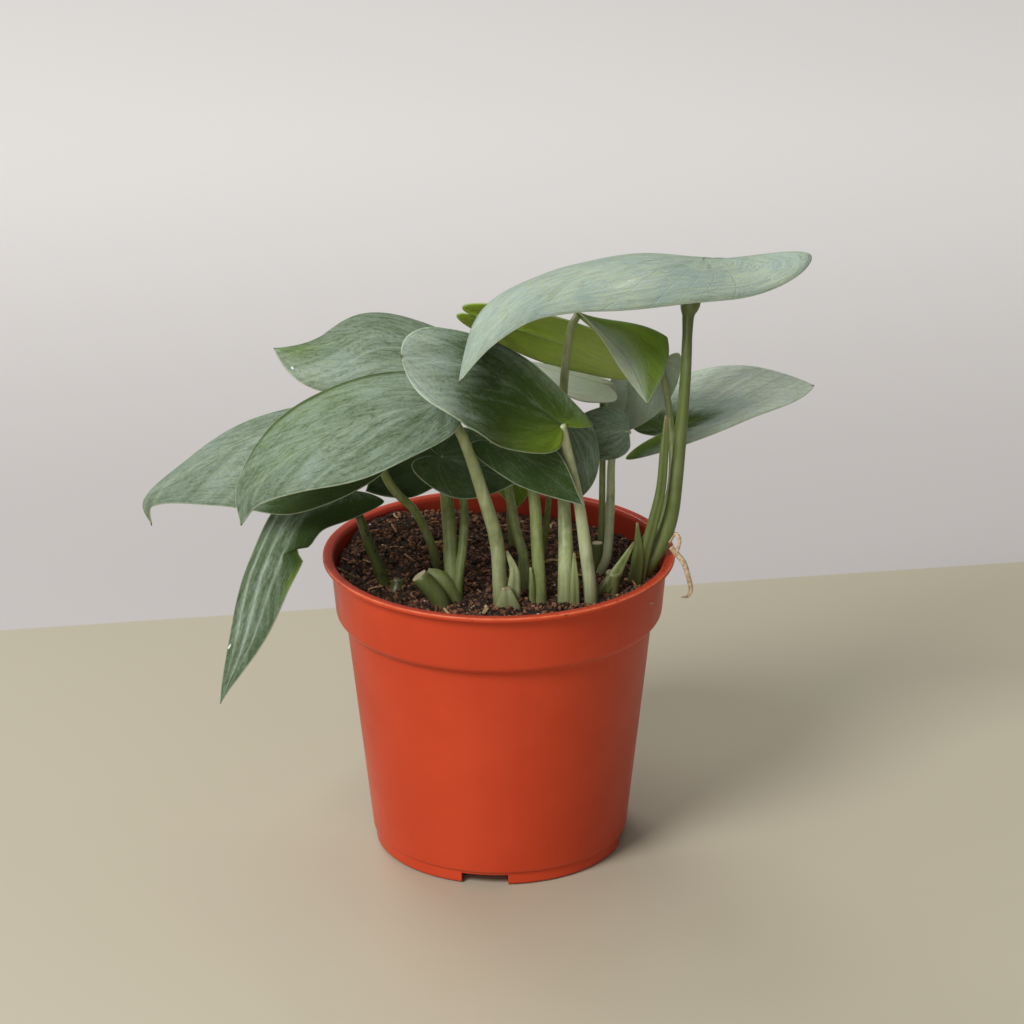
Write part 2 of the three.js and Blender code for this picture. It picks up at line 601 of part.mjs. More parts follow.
function potSolid() {
  const inner = (z) => wallRadius(z) - wallThickness;
  const floorTop = floorHeight + wallThickness;
  const footInner = footRadius - footWidth;
  const outside = [
    [0, 0], [padRadius, 0], [padRadius + 1, floorHeight], [footInner - 1, floorHeight], [footInner, 0],
    [footRadius - edgeRound, 0], [footRadius, edgeRound], [footRadius, footHeight - 0.4],
    [wallBottomRadius, footHeight],
    [wallTopRadius, collarBottom - 1.5], [collarBottomRadius - 1, collarBottom - 0.6],
    [collarBottomRadius, collarBottom + 0.8], [collarTopRadius, potHeight - lipThickness],
    [lipRadius, potHeight - lipThickness], [lipRadius, potHeight - 0.3], [lipRadius - 0.5, potHeight],
  ];
  const inside = [
    [lipInnerRadius, potHeight], [collarTopRadius - wallThickness, potHeight - 1.2],
    [collarBottomRadius - wallThickness, collarBottom + 1.5],
    [wallTopRadius - wallThickness, collarBottom - 1],
    [inner(footHeight), footHeight + 1], [inner(footHeight) - 1.2, floorTop], [padRadius, floorTop],
    [padRadius - 1, wallThickness], [0, wallThickness],
  ];
  const profile = [...outside, ...inside].map(([r, z]) => new THREE.Vector2(r, z));
  const lathe = new THREE.LatheGeometry(profile, potSegments);
  lathe.rotateX(Math.PI / 2);
  let pot = outward(lathe);
  for (let i = 0; i < notchCount; i += 1) {
    const notch = new THREE.BoxGeometry(2 * footWidth + 8, notchWidth, 2 * notchHeight);
    notch.translate(footRadius, 0, 0);
    notch.rotateZ(radians(notchTurn + (360 / notchCount) * i));
    pot = pot.subtract(toSolid(notch));
  }
  for (let i = 0; i < drainCount; i += 1) {
    const hole = new THREE.CylinderGeometry(drainRadius, drainRadius, 12, 12);
    hole.rotateX(Math.PI / 2);
    hole.translate(drainCircle, 0, floorHeight);
    hole.rotateZ((2 * Math.PI * i) / drainCount);
    pot = pot.subtract(toSolid(hole));
  }
  return pot;
}

// ---- growing mix ----
/** Height of the mix: nearly level, heaped at the left back, with small lumps. */
function soilHeight(x, y) {
  const away = Math.hypot(x - soilHeap.x, y - soilHeap.y) / soilHeap.reach;
  const heap = soilHeap.height * Math.exp(-(away ** 2) / 2);
  const lumps = 0.7 * Math.sin(x * 0.42 + 1.3) * Math.cos(y * 0.37) + 0.4 * Math.sin(x * 0.9 - y * 0.7);
  return soilLevel + heap + lumps;
}

function soilSolid() {
  const spokes = 36;
  const rings = [0, 10, 20, 30, 39, 47, 53];
  const edge = (z) => {
    const along = mapLinear(z, collarBottom, potHeight, collarBottomRadius, collarTopRadius);
    return (z > collarBottom + 2 ? along : wallRadius(z)) - wallThickness - gap - 0.4;
  };
  const points = [];
  const triangles = [];
  const ringStart = [];
  for (const radius of [...rings.slice(1), edge(soilLevel)]) {
    ringStart.push(points.length);
    for (let k = 0; k < spokes; k += 1) {
      const angle = (2 * Math.PI * k) / spokes;
      const [x, y] = [radius * Math.cos(angle), radius * Math.sin(angle)];
      points.push(new THREE.Vector3(x, y, soilHeight(x, y)));
    }
  }
  const soilBottom = floorHeight + wallThickness + gap;
  for (const z of [collarBottom + 2.2, collarBottom - 0.2, soilBottom + 2, soilBottom]) {
    const radius = z === soilBottom ? edge(z) - 1.5 : edge(z);
    ringStart.push(points.length);
    for (let k = 0; k < spokes; k += 1) {
      const angle = (2 * Math.PI * k) / spokes;
      points.push(new THREE.Vector3(radius * Math.cos(angle), radius * Math.sin(angle), z));
    }
  }
  const top = points.push(new THREE.Vector3(0, 0, soilHeight(0, 0))) - 1;
  const bottom = points.push(new THREE.Vector3(0, 0, soilBottom)) - 1;
  const outer = ringStart.at(-1);
  for (let k = 0; k < spokes; k += 1) {
    const next = (k + 1) % spokes;
    triangles.push([top, k, next], [bottom, outer + next, outer + k]);
    for (let i = 0; i < ringStart.length - 1; i += 1) {
      const [a, b] = [ringStart[i], ringStart[i + 1]];
      triangles.push([a + k, b + k, b + next], [a + k, b + next, a + next]);
    }
  }
  let soil = outward(meshFrom(points, triangles));
  for (const shoot of Object.values(shoots)) soil = soil.subtract(shootSolid(shoot, gap));
  return largestPiece(soil);
}

// ---- assembly ----
const plant = new THREE.Group();

function addPiece(name, solid, finish) {
  const body = toGeometry(largestPiece(toSolid(toGeometry(solid))));
  const mesh = new THREE.Mesh(body, new THREE.MeshStandardMaterial({ metalness: 0, ...finishes[finish] }));
  mesh.name = name;
  plant.add(mesh);
}

addPiece('pot', potSolid(), 'pot');
addPiece('soil', soilSolid(), 'soil');
for (const [name, leaf] of Object.entries(leaves)) {
  addPiece(name, outward(bladeGeometry(leaf, ...bladeDetail(name), bladeThickness)), leaf.finish);
}
for (const [name, shoot] of Object.entries(shoots)) addPiece(name, shootSolid(shoot), 'stalk');
addPiece('aerial_root', outward(sweepGeometry(aerialRoot)), 'root');

export default plant;
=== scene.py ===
import json
import math

import bpy
import bmesh
import numpy as np
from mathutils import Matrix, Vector

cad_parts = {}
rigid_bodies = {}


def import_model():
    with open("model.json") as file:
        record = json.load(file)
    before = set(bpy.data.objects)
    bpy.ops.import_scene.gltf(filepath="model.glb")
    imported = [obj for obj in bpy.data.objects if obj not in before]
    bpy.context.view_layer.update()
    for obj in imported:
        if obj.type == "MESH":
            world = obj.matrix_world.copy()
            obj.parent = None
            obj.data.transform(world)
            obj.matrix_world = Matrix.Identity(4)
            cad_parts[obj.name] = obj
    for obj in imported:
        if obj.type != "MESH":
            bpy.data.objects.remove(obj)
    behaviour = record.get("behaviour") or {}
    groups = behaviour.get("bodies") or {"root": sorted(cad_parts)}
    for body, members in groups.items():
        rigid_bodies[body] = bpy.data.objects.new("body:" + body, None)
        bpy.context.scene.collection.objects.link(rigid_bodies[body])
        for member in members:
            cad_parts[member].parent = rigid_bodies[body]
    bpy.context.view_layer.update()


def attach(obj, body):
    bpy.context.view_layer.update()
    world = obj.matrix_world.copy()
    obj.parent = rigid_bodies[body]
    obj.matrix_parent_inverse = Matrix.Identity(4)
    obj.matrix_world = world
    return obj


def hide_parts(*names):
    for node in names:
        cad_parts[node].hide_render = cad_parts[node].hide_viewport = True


for leftover in list(bpy.data.objects):
    bpy.data.objects.remove(leftover)
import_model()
mm = 0.001

# Camera: a long lens looking down on the plant.
photoView = {
    "target": (4.51, 0.0, 119.27),   # mm
    "distance": 1357.0,
    "down": 21.15,                   # degrees below the horizontal
    "roll": 0.2,
    "lens": 140.625,
    "sensor": 36.0,
    "clip": (0.05, 50.0),            # metres
}


def addCamera(view):
    data = bpy.data.cameras.new("photoCamera")
    data.lens = view["lens"]
    data.sensor_width = view["sensor"]
    data.clip_start, data.clip_end = view["clip"]
    camera = bpy.data.objects.new("photoCamera", data)
    bpy.context.scene.collection.objects.link(camera)
    down = math.radians(view["down"])
    forward = Vector((0, math.cos(down), -math.sin(down)))
    camera.location = (Vector(view["target"]) - forward * view["distance"]) * mm
    camera.rotation_euler = (math.pi / 2 - down, 0, 0)
    camera.rotation_euler.rotate_axis("Z", math.radians(-view["roll"]))
    bpy.context.scene.camera = camera
    bpy.context.scene.view_settings.view_transform = "Standard"


addCamera(photoView)


# Small tools for materials: each returns a socket that the next one can take.
def newPaint(name):
    paint = bpy.data.materials.new(name)
    paint.use_nodes = True
    tree = paint.node_tree
    tree.nodes.clear()
    shader = tree.nodes.new("ShaderNodeBsdfPrincipled")
    output = tree.nodes.new("ShaderNodeOutputMaterial")
    tree.links.new(shader.outputs["BSDF"], output.inputs["Surface"])
    return paint, tree, shader


def feed(tree, socket, value):
    if isinstance(value, bpy.types.NodeSocket):
        tree.links.new(value, socket)
    elif socket.type == "RGBA":
        socket.default_value = (*value[:3], 1)
    else:
        socket.default_value = value


def calc(tree, operation, a, b=0.0, c=0.0, clamp=False):
    node = tree.nodes.new("ShaderNodeMath")
    node.operation = operation
    node.use_clamp = clamp
    for socket, value in zip(node.inputs, (a, b, c)):
        feed(tree, socket, value)
    return node.outputs[0]


def times(tree, a, b, clamp=False):
    return calc(tree, "MULTIPLY", a, b, clamp=clamp)


def plus(tree, a, b, clamp=False):
    return calc(tree, "ADD", a, b, clamp=clamp)


def weighed(tree, start, parts):
    # each part is a value and its weight
    for value, weight in parts:
        start = calc(tree, "MULTIPLY_ADD", value, weight, start)
    return start


def blendColour(tree, amount, a, b):
    node = tree.nodes.new("ShaderNodeMix")
    node.data_type = "RGBA"
    feed(tree, node.inputs["Factor"], amount)
    feed(tree, node.inputs[6], a)
    feed(tree, node.inputs[7], b)
    return node.outputs[2]


def layered(tree, colour, look, layers):
    # each layer is an amount and the name of its colour in the look
    for amount, tone in layers:
        colour = blendColour(tree, amount, colour, look[tone])
    return colour


def ease(tree, value, low, high, toLow=0.0, toHigh=1.0):
    node = tree.nodes.new("ShaderNodeMapRange")
    node.interpolation_type = "SMOOTHSTEP"
    for socket, part in zip(node.inputs, (value, low, high, toLow, toHigh)):
        feed(tree, socket, part)
    return node.outputs[0]


def grainOf(tree, vector, scale, detail=2.0, rough=0.5):
    node = tree.nodes.new("ShaderNodeTexNoise")
    feed(tree, node.inputs["Vector"], vector)
    for socket, part in (("Scale", scale), ("Detail", detail), ("Roughness", rough)):
        node.inputs[socket].default_value = part
    return node.outputs[0]


def placeOf(tree, stretch=(1, 1, 1)):
    coordinate = tree.nodes.new("ShaderNodeTexCoord")
    mapping = tree.nodes.new("ShaderNodeMapping")
    mapping.inputs["Scale"].default_value = stretch
    tree.links.new(coordinate.outputs["Object"], mapping.inputs["Vector"])
    return mapping.outputs[0]


def valueOf(tree, name):
    node = tree.nodes.new("ShaderNodeAttribute")
    node.attribute_name = name
    return node.outputs["Fac"]


def joined(tree, x, y, z=0.0):
    node = tree.nodes.new("ShaderNodeCombineXYZ")
    for socket, value in zip(node.inputs, (x, y, z)):
        feed(tree, socket, value)
    return node.outputs[0]


def split(tree, vector):
    node = tree.nodes.new("ShaderNodeSeparateXYZ")
    feed(tree, node.inputs[0], vector)
    return node.outputs


def addBump(tree, shader, height, strength, distance):
    node = tree.nodes.new("ShaderNodeBump")
    node.inputs["Strength"].default_value = strength
    node.inputs["Distance"].default_value = distance
    tree.links.new(height, node.inputs["Height"])
    tree.links.new(node.outputs[0], shader.inputs["Normal"])


def setSkin(shader, look):
    names = ("Subsurface Weight", "Subsurface Radius", "Subsurface Scale", "Specular IOR Level")
    for name, value in zip(names, (*look["glow"], look["specular"])):
        shader.inputs[name].default_value = value


# Small tools for meshes: points are in mm.
def meshObject(name, points, faces, smooth=True):
    mesh = bpy.data.meshes.new(name)
    mesh.from_pydata((np.asarray(points, float) * mm).tolist(), [], faces)
    mesh.validate()
    if smooth:
        mesh.shade_smooth()
    made = bpy.data.objects.new(name, mesh)
    bpy.context.scene.collection.objects.link(made)
    return made


def settle(piece, nodes, material):
    piece.data.materials.clear()
    piece.data.materials.append(material)
    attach(piece, "root")
    if nodes:
        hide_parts(*nodes)
    return piece


def turnOutward(piece):
    sculpt = bmesh.new()
    sculpt.from_mesh(piece.data)
    bmesh.ops.recalc_face_normals(sculpt, faces=sculpt.faces)
    sculpt.to_mesh(piece.data)
    sculpt.free()


def addValues(mesh, name, values):
    mesh.attributes.new(name, "FLOAT", "POINT").data.foreach_set("value", np.asarray(values, np.float32))


def unit(v):
    v = np.asarray(v, float)
    return v / np.linalg.norm(v, axis=-1, keepdims=True)


def smoothCurve(points, steps=240):
    # a curve through the points, with the length run so far at each step
    knots = np.asarray(points, float)
    ends = np.vstack([2 * knots[0] - knots[1], knots, 2 * knots[-1] - knots[-2]])
    t = np.linspace(0, len(knots) - 1, steps + 1)
    first = np.minimum(t.astype(int), len(knots) - 2)
    w = (t - first)[:, None]
    p0, p1, p2, p3 = ends[first], ends[first + 1], ends[first + 2], ends[first + 3]
    inSlope, outSlope = (p2 - p0) / 2, (p3 - p1) / 2
    path = (2 * p1 - 2 * p2 + inSlope + outSlope) * w**3
    path += (3 * p2 - 3 * p1 - 2 * inSlope - outSlope) * w**2 + inSlope * w + p1
    run = np.concatenate([[0], np.cumsum(np.linalg.norm(np.diff(path, axis=0), axis=1))])
    return path, run


def along(path, run, where):
    return np.stack([np.interp(where, run, path[:, k]) for k in range(3)], axis=-1)


# Floor and light.
studio = {
    "table": (0.465, 0.425, 0.318),
    "ground": (0.51, 0.484, 0.470),    # pale ground behind the table, near its edge
    # the far tone is paler as painted light: the ground beyond the table grows brighter with distance
    "groundFarPaintedLight": (0.86, 0.83, 0.81),
    "groundPaintedLightDepth": (0.2, 0.95),        # metres, from the near tone to the far one
    "tableGrain": 0.03,
    "edgeSoft": 0.0006,                # metres
    "edgeLeft": (-196.0, 182.0),       # mm, two points of the line where the table ends
    "edgeRight": (213.5, 250.5),
    "floorRough": 0.42,
    "floorSpecular": 0.3,
    "floorSize": 6000.0,               # mm
    "floorDrop": 0.2,
    "worldColour": (1.0, 0.97, 0.93),
    "worldStrength": 0.2,
    "lamps": {                         # place in metres, size in metres, power in watts
        "keyLight": ((-1.15, -1.4, 1.7), 1.0, 48.0, (0.0, 0.0, 0.1)),
        "frontLight": ((-0.5, -2.6, 0.6), 1.4, 12.0, (0.0, 0.0, 0.12)),
        "topLight": ((-0.3, 0.4, 2.2), 1.6, 13.0, (0.0, 0.1, 0.1)),
        "backLight": ((-1.2, 2.3, 2.4), 1.6, 29.0, (-0.4, 0.9, 0.0)),
    },
}


def makeFloor(form):
    size = form["floorSize"]
    corners = [(x * size, y * size, -form["floorDrop"]) for x, y in ((-1, -1), (1, -1), (1, 1), (-1, 1))]
    floor = meshObject("floor", corners, [[0, 1, 2, 3]], smooth=False)
    paint, tree, shader = newPaint("floorPaint")
    (x0, y0), (x1, y1) = form["edgeLeft"], form["edgeRight"]
    slope = (y1 - y0) / (x1 - x0)
    x, y, _ = split(tree, placeOf(tree))
    beyond = calc(tree, "SUBTRACT", y, calc(tree, "MULTIPLY_ADD", x, slope, (y0 - slope * x0) * mm))
    beyond = ease(tree, beyond, -form["edgeSoft"], form["edgeSoft"])
    # painted light: the ground grows paler towards the far tone
    ground = blendColour(tree, ease(tree, y, *form["groundPaintedLightDepth"]), form["ground"], form["groundFarPaintedLight"])
    grain = form["tableGrain"]
    darker, lighter = ([c * factor for c in form["table"]] for factor in (1 - grain, 1 + grain))
    table = blendColour(tree, grainOf(tree, placeOf(tree), 6, 3), darker, lighter)
    feed(tree, shader.inputs["Base Color"], blendColour(tree, beyond, table, ground))
    shader.inputs["Roughness"].default_value = form["floorRough"]
    shader.inputs["Specular IOR Level"].default_value = form["floorSpecular"]
    floor.data.materials.append(paint)


def addLamp(name, place, size, power, aim):
    data = bpy.data.lights.new(name, "AREA")
    data.shape = "DISK"
    data.size = size
    data.energy = power
    lamp = bpy.data.objects.new(name, data)
    lamp.location = place
    lamp.rotation_euler = (Vector(aim) - Vector(place)).to_track_quat("-Z", "Y").to_euler()
    bpy.context.scene.collection.objects.link(lamp)


def addAir(form):
    world = bpy.data.worlds.new("studioAir")
    bpy.context.scene.world = world
    world.use_nodes = True
    air = world.node_tree.nodes["Background"]
    air.inputs["Color"].default_value = (*form["worldColour"], 1)
    air.inputs["Strength"].default_value = form["worldStrength"]


makeFloor(studio)
for lampName, (place, size, power, aim) in studio["lamps"].items():
    addLamp(lampName, place, size, power, aim)
addAir(studio)
print("studio ready")

# Leaf blades. spine: the midrib from the stalk's joint to the tip, in mm.
# face: where the upper side looks, at both ends or all along. half: half width. A pair is [left, right], seen
# from above with the tip ahead, and one number stands for both sides. lobe: how far the basal lobe reaches
# back. lobeOut: how far out its end lies. notch: how fast the margin leaves the joint, below 0 the lobes
# overlap. widest: place of the widest point. point: 0 blunt to 1 drawn out. fold, curl and lift in degrees.
# silver, warm (yellow-green) and shade, a painted shade, are levels of the whole blade. Silver past 1 is
# paler, painted light.
# patches: (level, share, run, wide, long, change). share goes from -1 at the left margin over 0 at the midrib
# to 1 at the right margin, run from 0 at the notch to 1 at the tip. flecks: (share, run, wide, long).
# bites: (side, run, long, depth) of a torn margin.
leafBlades = {
    "leaf_top": {
        "finish": "silver", "silver": 0.86, "ripple": 0.8,
        "spine": [[68.5, 9, 206], [51.5, 0, 209.5], [36, -9, 209.5], [21, -18, 207.5], [7, -29, 203.4],
                  [-4, -42, 195.6], [-12.5, -53, 184.1]],
        "face": [[0.1, 0, 1], [-0.6, -0.75, 0.4]], "half": [21, 17], "lobe": [36, 20], "lobeOut": [13, 10],
        "notch": -0.2, "widest": [0.12, 0.55], "point": [0.75, 0.65], "fold": [-5, -10], "curl": [-42, -28],
        "lift": [35, 0],
        # The first patch is a painted highlight, a bright patch of sheen on the blade.
        "patches": [("silver", -0.5, 0.57, 0.25, 0.09, 0.5), ("silver", -0.7, 0.35, 0.2, 0.1, 0.3)],
    },
    "leaf_cupped_front": {
        "finish": "dark", "silver": 0.06,
        "spine": [[21, -28, 161], [3.5, -34, 177], [-12.5, -40, 186], [-31, -46, 191]],
        "face": [[0.1, -0.75, 0.6], [-0.3, -0.5, 0.8]], "half": [27, 12], "lobe": [3, 10],
        "lobeOut": [7, 6], "widest": [0.62, 0.75], "point": [-0.4, -0.3], "shoulder": [0.8, 0.6],
        "fold": [3, 10], "curl": [15, 5],
        "patches": [("silver", -0.1, 0.98, 1.3, 0.26, 0.75), ("silver", 0.9, 0.7, 0.35, 0.5, 0.45),
                    ("silver", -0.95, 0.75, 0.35, 0.3, 0.4), ("warm", -0.9, 0.2, 0.5, 0.2, 0.9),
                    ("warm", 0.9, 0.1, 0.7, 0.16, 0.9)],
    },
    "leaf_big_left": {
        "finish": "silver", "silver": 0.46,
        "spine": [[-19, -38, 172.5], [-39.5, -46, 170], [-64, -52, 160.5], [-79.5, -55.5, 148.5],
                  [-83.5, -56, 136.5]],
        "face": [[0, -0.5, 0.85], [-0.5, -0.6, 0.6]], "half": [20, 23], "lobe": 4, "lobeOut": [9, 11],
        "widest": 0.35, "point": 0.6, "fold": 5, "curl": [-20, -35],
        "patches": [("warm", 0.75, 0.6, 0.4, 0.2, 0.14), ("warm", 0.05, 0.78, 0.2, 0.15, 0.14),
                    ("silver", 1.0, 0.55, 0.09, 0.2, -1.0)],
    },
    "leaf_far_left": {
        "finish": "silver", "silver": 0.55,
        "spine": [[-45.5, -12, 158.5], [-81.5, -18, 152.5], [-104, -22, 142.5], [-117, -25, 133.5],
                  [-115.5, -24, 124]],
        "face": [[0, -0.6, 0.8], [-0.5, -0.6, 0.6]], "half": [28, 11], "lobe": [9, 12], "lobeOut": [13, 6],
        "widest": [0.3, 0.12], "point": [0.9, 0.85], "fold": [-15, -5], "curl": -20,
        # The patches darken its left margin as painted shade, where leaf_big_left casts its shadow.
        "patches": [("silver", -0.95, 0.44, 0.3, 0.16, -0.9), ("shade", -0.97, 0.42, 0.25, 0.16, 0.4)],
    },
    "leaf_upper_left": {
        "finish": "silver", "silver": 0.44, "warm": 0.02,
        "spine": [[-19.5, -10, 180.5], [-41, -10, 186], [-59, -12, 183], [-74, -14, 183]],
        "face": [[0, -0.4, 0.9], [-0.1, -0.5, 0.85]], "half": [17, 14], "lobe": [6, 8], "lobeOut": [8, 6],
        "widest": [0.65, 0.25], "point": [0.2, 1.1], "fold": [-5, 5], "curl": [-35, -30],
        "patches": [("silver", -0.8, 0.6, 0.4, 0.5, 0.3), ("warm", -0.1, 0.92, 0.6, 0.12, 0.35)],
        "flecks": [(-0.84, 0.845, 0.045, 0.011)],
    },
    "leaf_hanging_left": {
        "finish": "silver", "silver": 0.36,
        "spine": [[-51.5, -12, 131], [-65.5, -20, 125.5], [-75, -27, 108], [-83, -31, 85], [-94, -33, 63]],
        "face": [[-0.2, -0.8, 0.6], [-0.3, -0.9, 0.2]], "half": [8, 10.5], "lobe": [10, 8],
        "lobeOut": [9, 7], "widest": [0.3, 0.5], "point": [0.8, 0.5], "fold": 5, "curl": [-20, -25],
        "patches": [("silver", -0.9, 0.38, 0.6, 0.16, -1.0), ("warm", -1.0, 0.6, 0.25, 0.05, 0.6),
                    ("shade", -0.9, 0.4, 0.5, 0.14, 0.3), ("silver", 0.35, 0.68, 0.07, 0.4, 0.5),
                    ("silver", -0.1, 0.7, 0.05, 0.35, 0.4), ("silver", 0.72, 0.6, 0.06, 0.3, 0.45)],
        "bites": [(0, 0.53, 0.011, 0.55), (0, 0.62, 0.07, 0.06)], "flecks": [(0.93, 0.77, 0.07, 0.01)],
    },
    "leaf_dark_back_left": {
        # Its shade level is painted shade, for a leaf lying deep behind those in front.
        "finish": "dark", "silver": 0.05, "shade": 0.3,
        "spine": [[-20, 8, 134.5], [-32, 4, 131], [-45, 0, 127]], "face": [0, -0.8, 0.5], "half": [8, 11],
        "lobe": 3, "lobeOut": [4, 5], "widest": 0.4, "point": 0.5, "fold": 5, "curl": -20,
    },
    "leaf_round_middle": {
        "finish": "dark", "silver": 0.12, "spine": [[-19.5, -12, 144], [-7, -16, 141], [7, -19, 137.5]],
        "face": [[0, -0.8, 0.6], [0.2, -0.8, 0.6]], "half": [13, 12], "lobe": 8, "lobeOut": [6, 5.5],
        "widest": 0.3, "point": 0.5, "fold": 5, "curl": -20,
        "patches": [("shade", 0.2, 0.45, 0.4, 0.12, 0.3)],
    },
    "leaf_pointed_front": {
        "finish": "dark", "silver": 0.08, "spine": [[-3, -26, 154.5], [11.5, -30, 148], [28.5, -33.5, 134]],
        "face": [[-0.1, -0.7, 0.7], [0.2, -0.8, 0.5]], "half": 9, "lobe": 5, "lobeOut": 4, "widest": 0.35,
        "point": 0.7, "fold": [10, 0], "curl": [10, -20],
    },
    "leaf_grey_middle": {
        "finish": "dark", "silver": 0.45, "spine": [[23.5, -14, 156], [25, -18, 144], [24.5, -20, 130.5]],
        "face": [[0.1, -0.9, 0.3], [0.1, -0.9, 0.2]], "half": 9.5, "lobe": 3, "lobeOut": 4.5, "widest": 0.4,
        "point": 0.2, "curl": -30,
    },
    "leaf_round_right": {
        "finish": "dark", "silver": 0.48, "spine": [[44, 6, 146], [34, 3, 147], [24, 3, 149.5]],
        "face": [[0.3, -0.8, 0.5], [0, -0.8, 0.5]], "half": 9.5, "lobe": 0.5, "lobeOut": 4.5,
        "widest": 0.36, "point": 0.3, "curl": -25,
    },
    "leaf_pale_back": {
        "finish": "silver", "silver": 2.1, "spine": [[35.5, 19, 158.5], [19, 15, 164.5], [4.5, 11, 170.5]],
        "face": [0, -0.2, 1], "half": [10, 6], "lobe": 5, "lobeOut": [5, 3], "widest": 0.2, "point": 0.6,
        "curl": [-45, -20],
    },
    "leaf_narrow_back": {
        "finish": "silver", "silver": 1.3, "spine": [[39, 29, 142], [41, 30, 152], [41.5, 31, 161]],
        "face": [0.2, -0.9, 0.3], "half": 4, "lobe": 2, "lobeOut": 2, "widest": 0.4, "point": 0.4,
        "curl": -30,
    },
    "leaf_silver_back": {
        "finish": "silver", "silver": 1.3, "warm": 0.1,
        "spine": [[55.5, 30, 162.5], [49.5, 34, 149], [39.5, 36, 133.5]],
        "face": [[0.1, -0.9, 0.4], [0, -0.8, 0.5]], "half": 9, "lobe": 6, "lobeOut": 4, "widest": 0.3,
        "point": 0.5, "curl": -20, "flecks": [(-0.29, 0.15, 0.09, 0.015)],
    },
    "leaf_right": {
        "finish": "silver", "silver": 1.5, "spine": [[60.5, 39, 135], [85, 38, 145.5], [109, 38, 151]],
        "face": [[0, -0.6, 0.8], [0.1, -0.6, 0.8]], "half": [20, 7.5], "lobe": [14, 19],
        "lobeOut": [8, 4.5], "notch": -0.35, "widest": [0.03, 0.3], "point": [0.45, 0.05], "fold": [5, 0],
        "curl": [-15, -25], "lift": [-15, 5],
        # The first and last patches take the silver off as painted shade, over the basal lobe and a fold by
        # the midrib.
        "patches": [("silver", 0.0, 0.2, 3.0, 0.2, -1.7), ("warm", 0.5, 0.2, 0.9, 0.14, 0.5),
                    ("silver", 0.15, 0.47, 0.3, 0.22, -0.9)],
    },
    "leaf_backlit": {
        "finish": "fresh", "silver": 0.1, "warm": 0.75,
        "spine": [[-1.5, 18, 182], [24, 20, 172.5], [50.5, 22, 160]], "face": [0, 0.7, 0.7],
        "half": [15, 18], "lobe": 12, "lobeOut": [4, 2.5], "widest": [0.35, 0.4], "point": [0.1, 0.3],
        "curl": -10, "patches": [("silver", 0.0, 0.95, 3.0, 0.35, 1.1)],
    },
    "leaf_channelled": {
        "finish": "fresh", "silver": 1.9, "warm": 0.3,
        "spine": [[27, 6, 188.3], [43, 4, 172.8], [50, -1, 158.3]],
        "face": [[0.1, -0.1, 1], [0.1, -0.8, 0.4]], "half": [17, 6], "lobe": [0.5, 1], "lobeOut": [0.5, 2],
        "widest": [0.62, 0.5], "point": [0.65, 0.7], "shoulder": [0.05, 1], "fold": [0, 25], "curl": 0,
        "patches": [("silver", -0.7, 0.6, 0.6, 0.7, -1.7), ("warm", -0.7, 0.55, 0.5, 0.5, 0.7)],
    },
    "leaf_young_back": {
        "finish": "fresh", "silver": 0.0, "warm": 0.9,
        "spine": [[3, 18, 134.5], [5, 15, 125], [6, 13, 115.5]], "face": [0, -0.9, 0.3], "half": 7,
        "lobe": 3, "lobeOut": 3, "widest": 0.4, "point": 0.4, "curl": -20,
    },
}
leafForm = {
    "rows": 84,
    "columns": 14,               # to each side of the rib
    "fullHalf": 20.0,            # mm, half width of a leaf with a full-sized rib
    "thickness": 0.85,
    "marginThickness": 0.4,
    "marginWidth": 3.0,          # mm, over which the blade thins out
    "ribWidth": 1.3,
    "ribHeight": 0.8,
    "ribGroove": 0.35,
    "ripple": 0.3,
    "rippleTurns": 3.0,
    "veins": 7,
    "veinLean": 3.0,
    "veinBend": 0.8,
    "veinSwell": 0.22,
    "lobeVeins": 0.3,
    "rowBend": 0.65,             # how much the rows crowd at the rib's foot
    "lobeShare": 0.24,           # shares of the rows where the margin turns at the lobe and is widest
    "widestShare": 0.52,
    "notchStart": 0.03,
}
marginSlopes = {                 # of the margin's curves where they join
    "notchBack": 1.3,
    "notchOut": 0.15,
    "lobeOut": 0.55,
    "sideOut": 0.85,
    "sideAhead": 1.25,
    "widestAhead": 1.2,
    "tipAhead": (0.25, 0.95),    # for a blunt tip, and what a drawn out one changes
    "tipInward": (2.4, 2.1),
}


def hermite(start, startSlope, end, endSlope, t):
    return (
        (2 * t**3 - 3 * t**2 + 1) * start
        + (t**3 - 2 * t**2 + t) * startSlope
        + (3 * t**2 - 2 * t**3) * end
        + (t**3 - t**2) * endSlope
    )


def ofSide(leaf, key, side, usual=0.0):
    value = leaf.get(key, usual)
    return value[side] if isinstance(value, list) else value


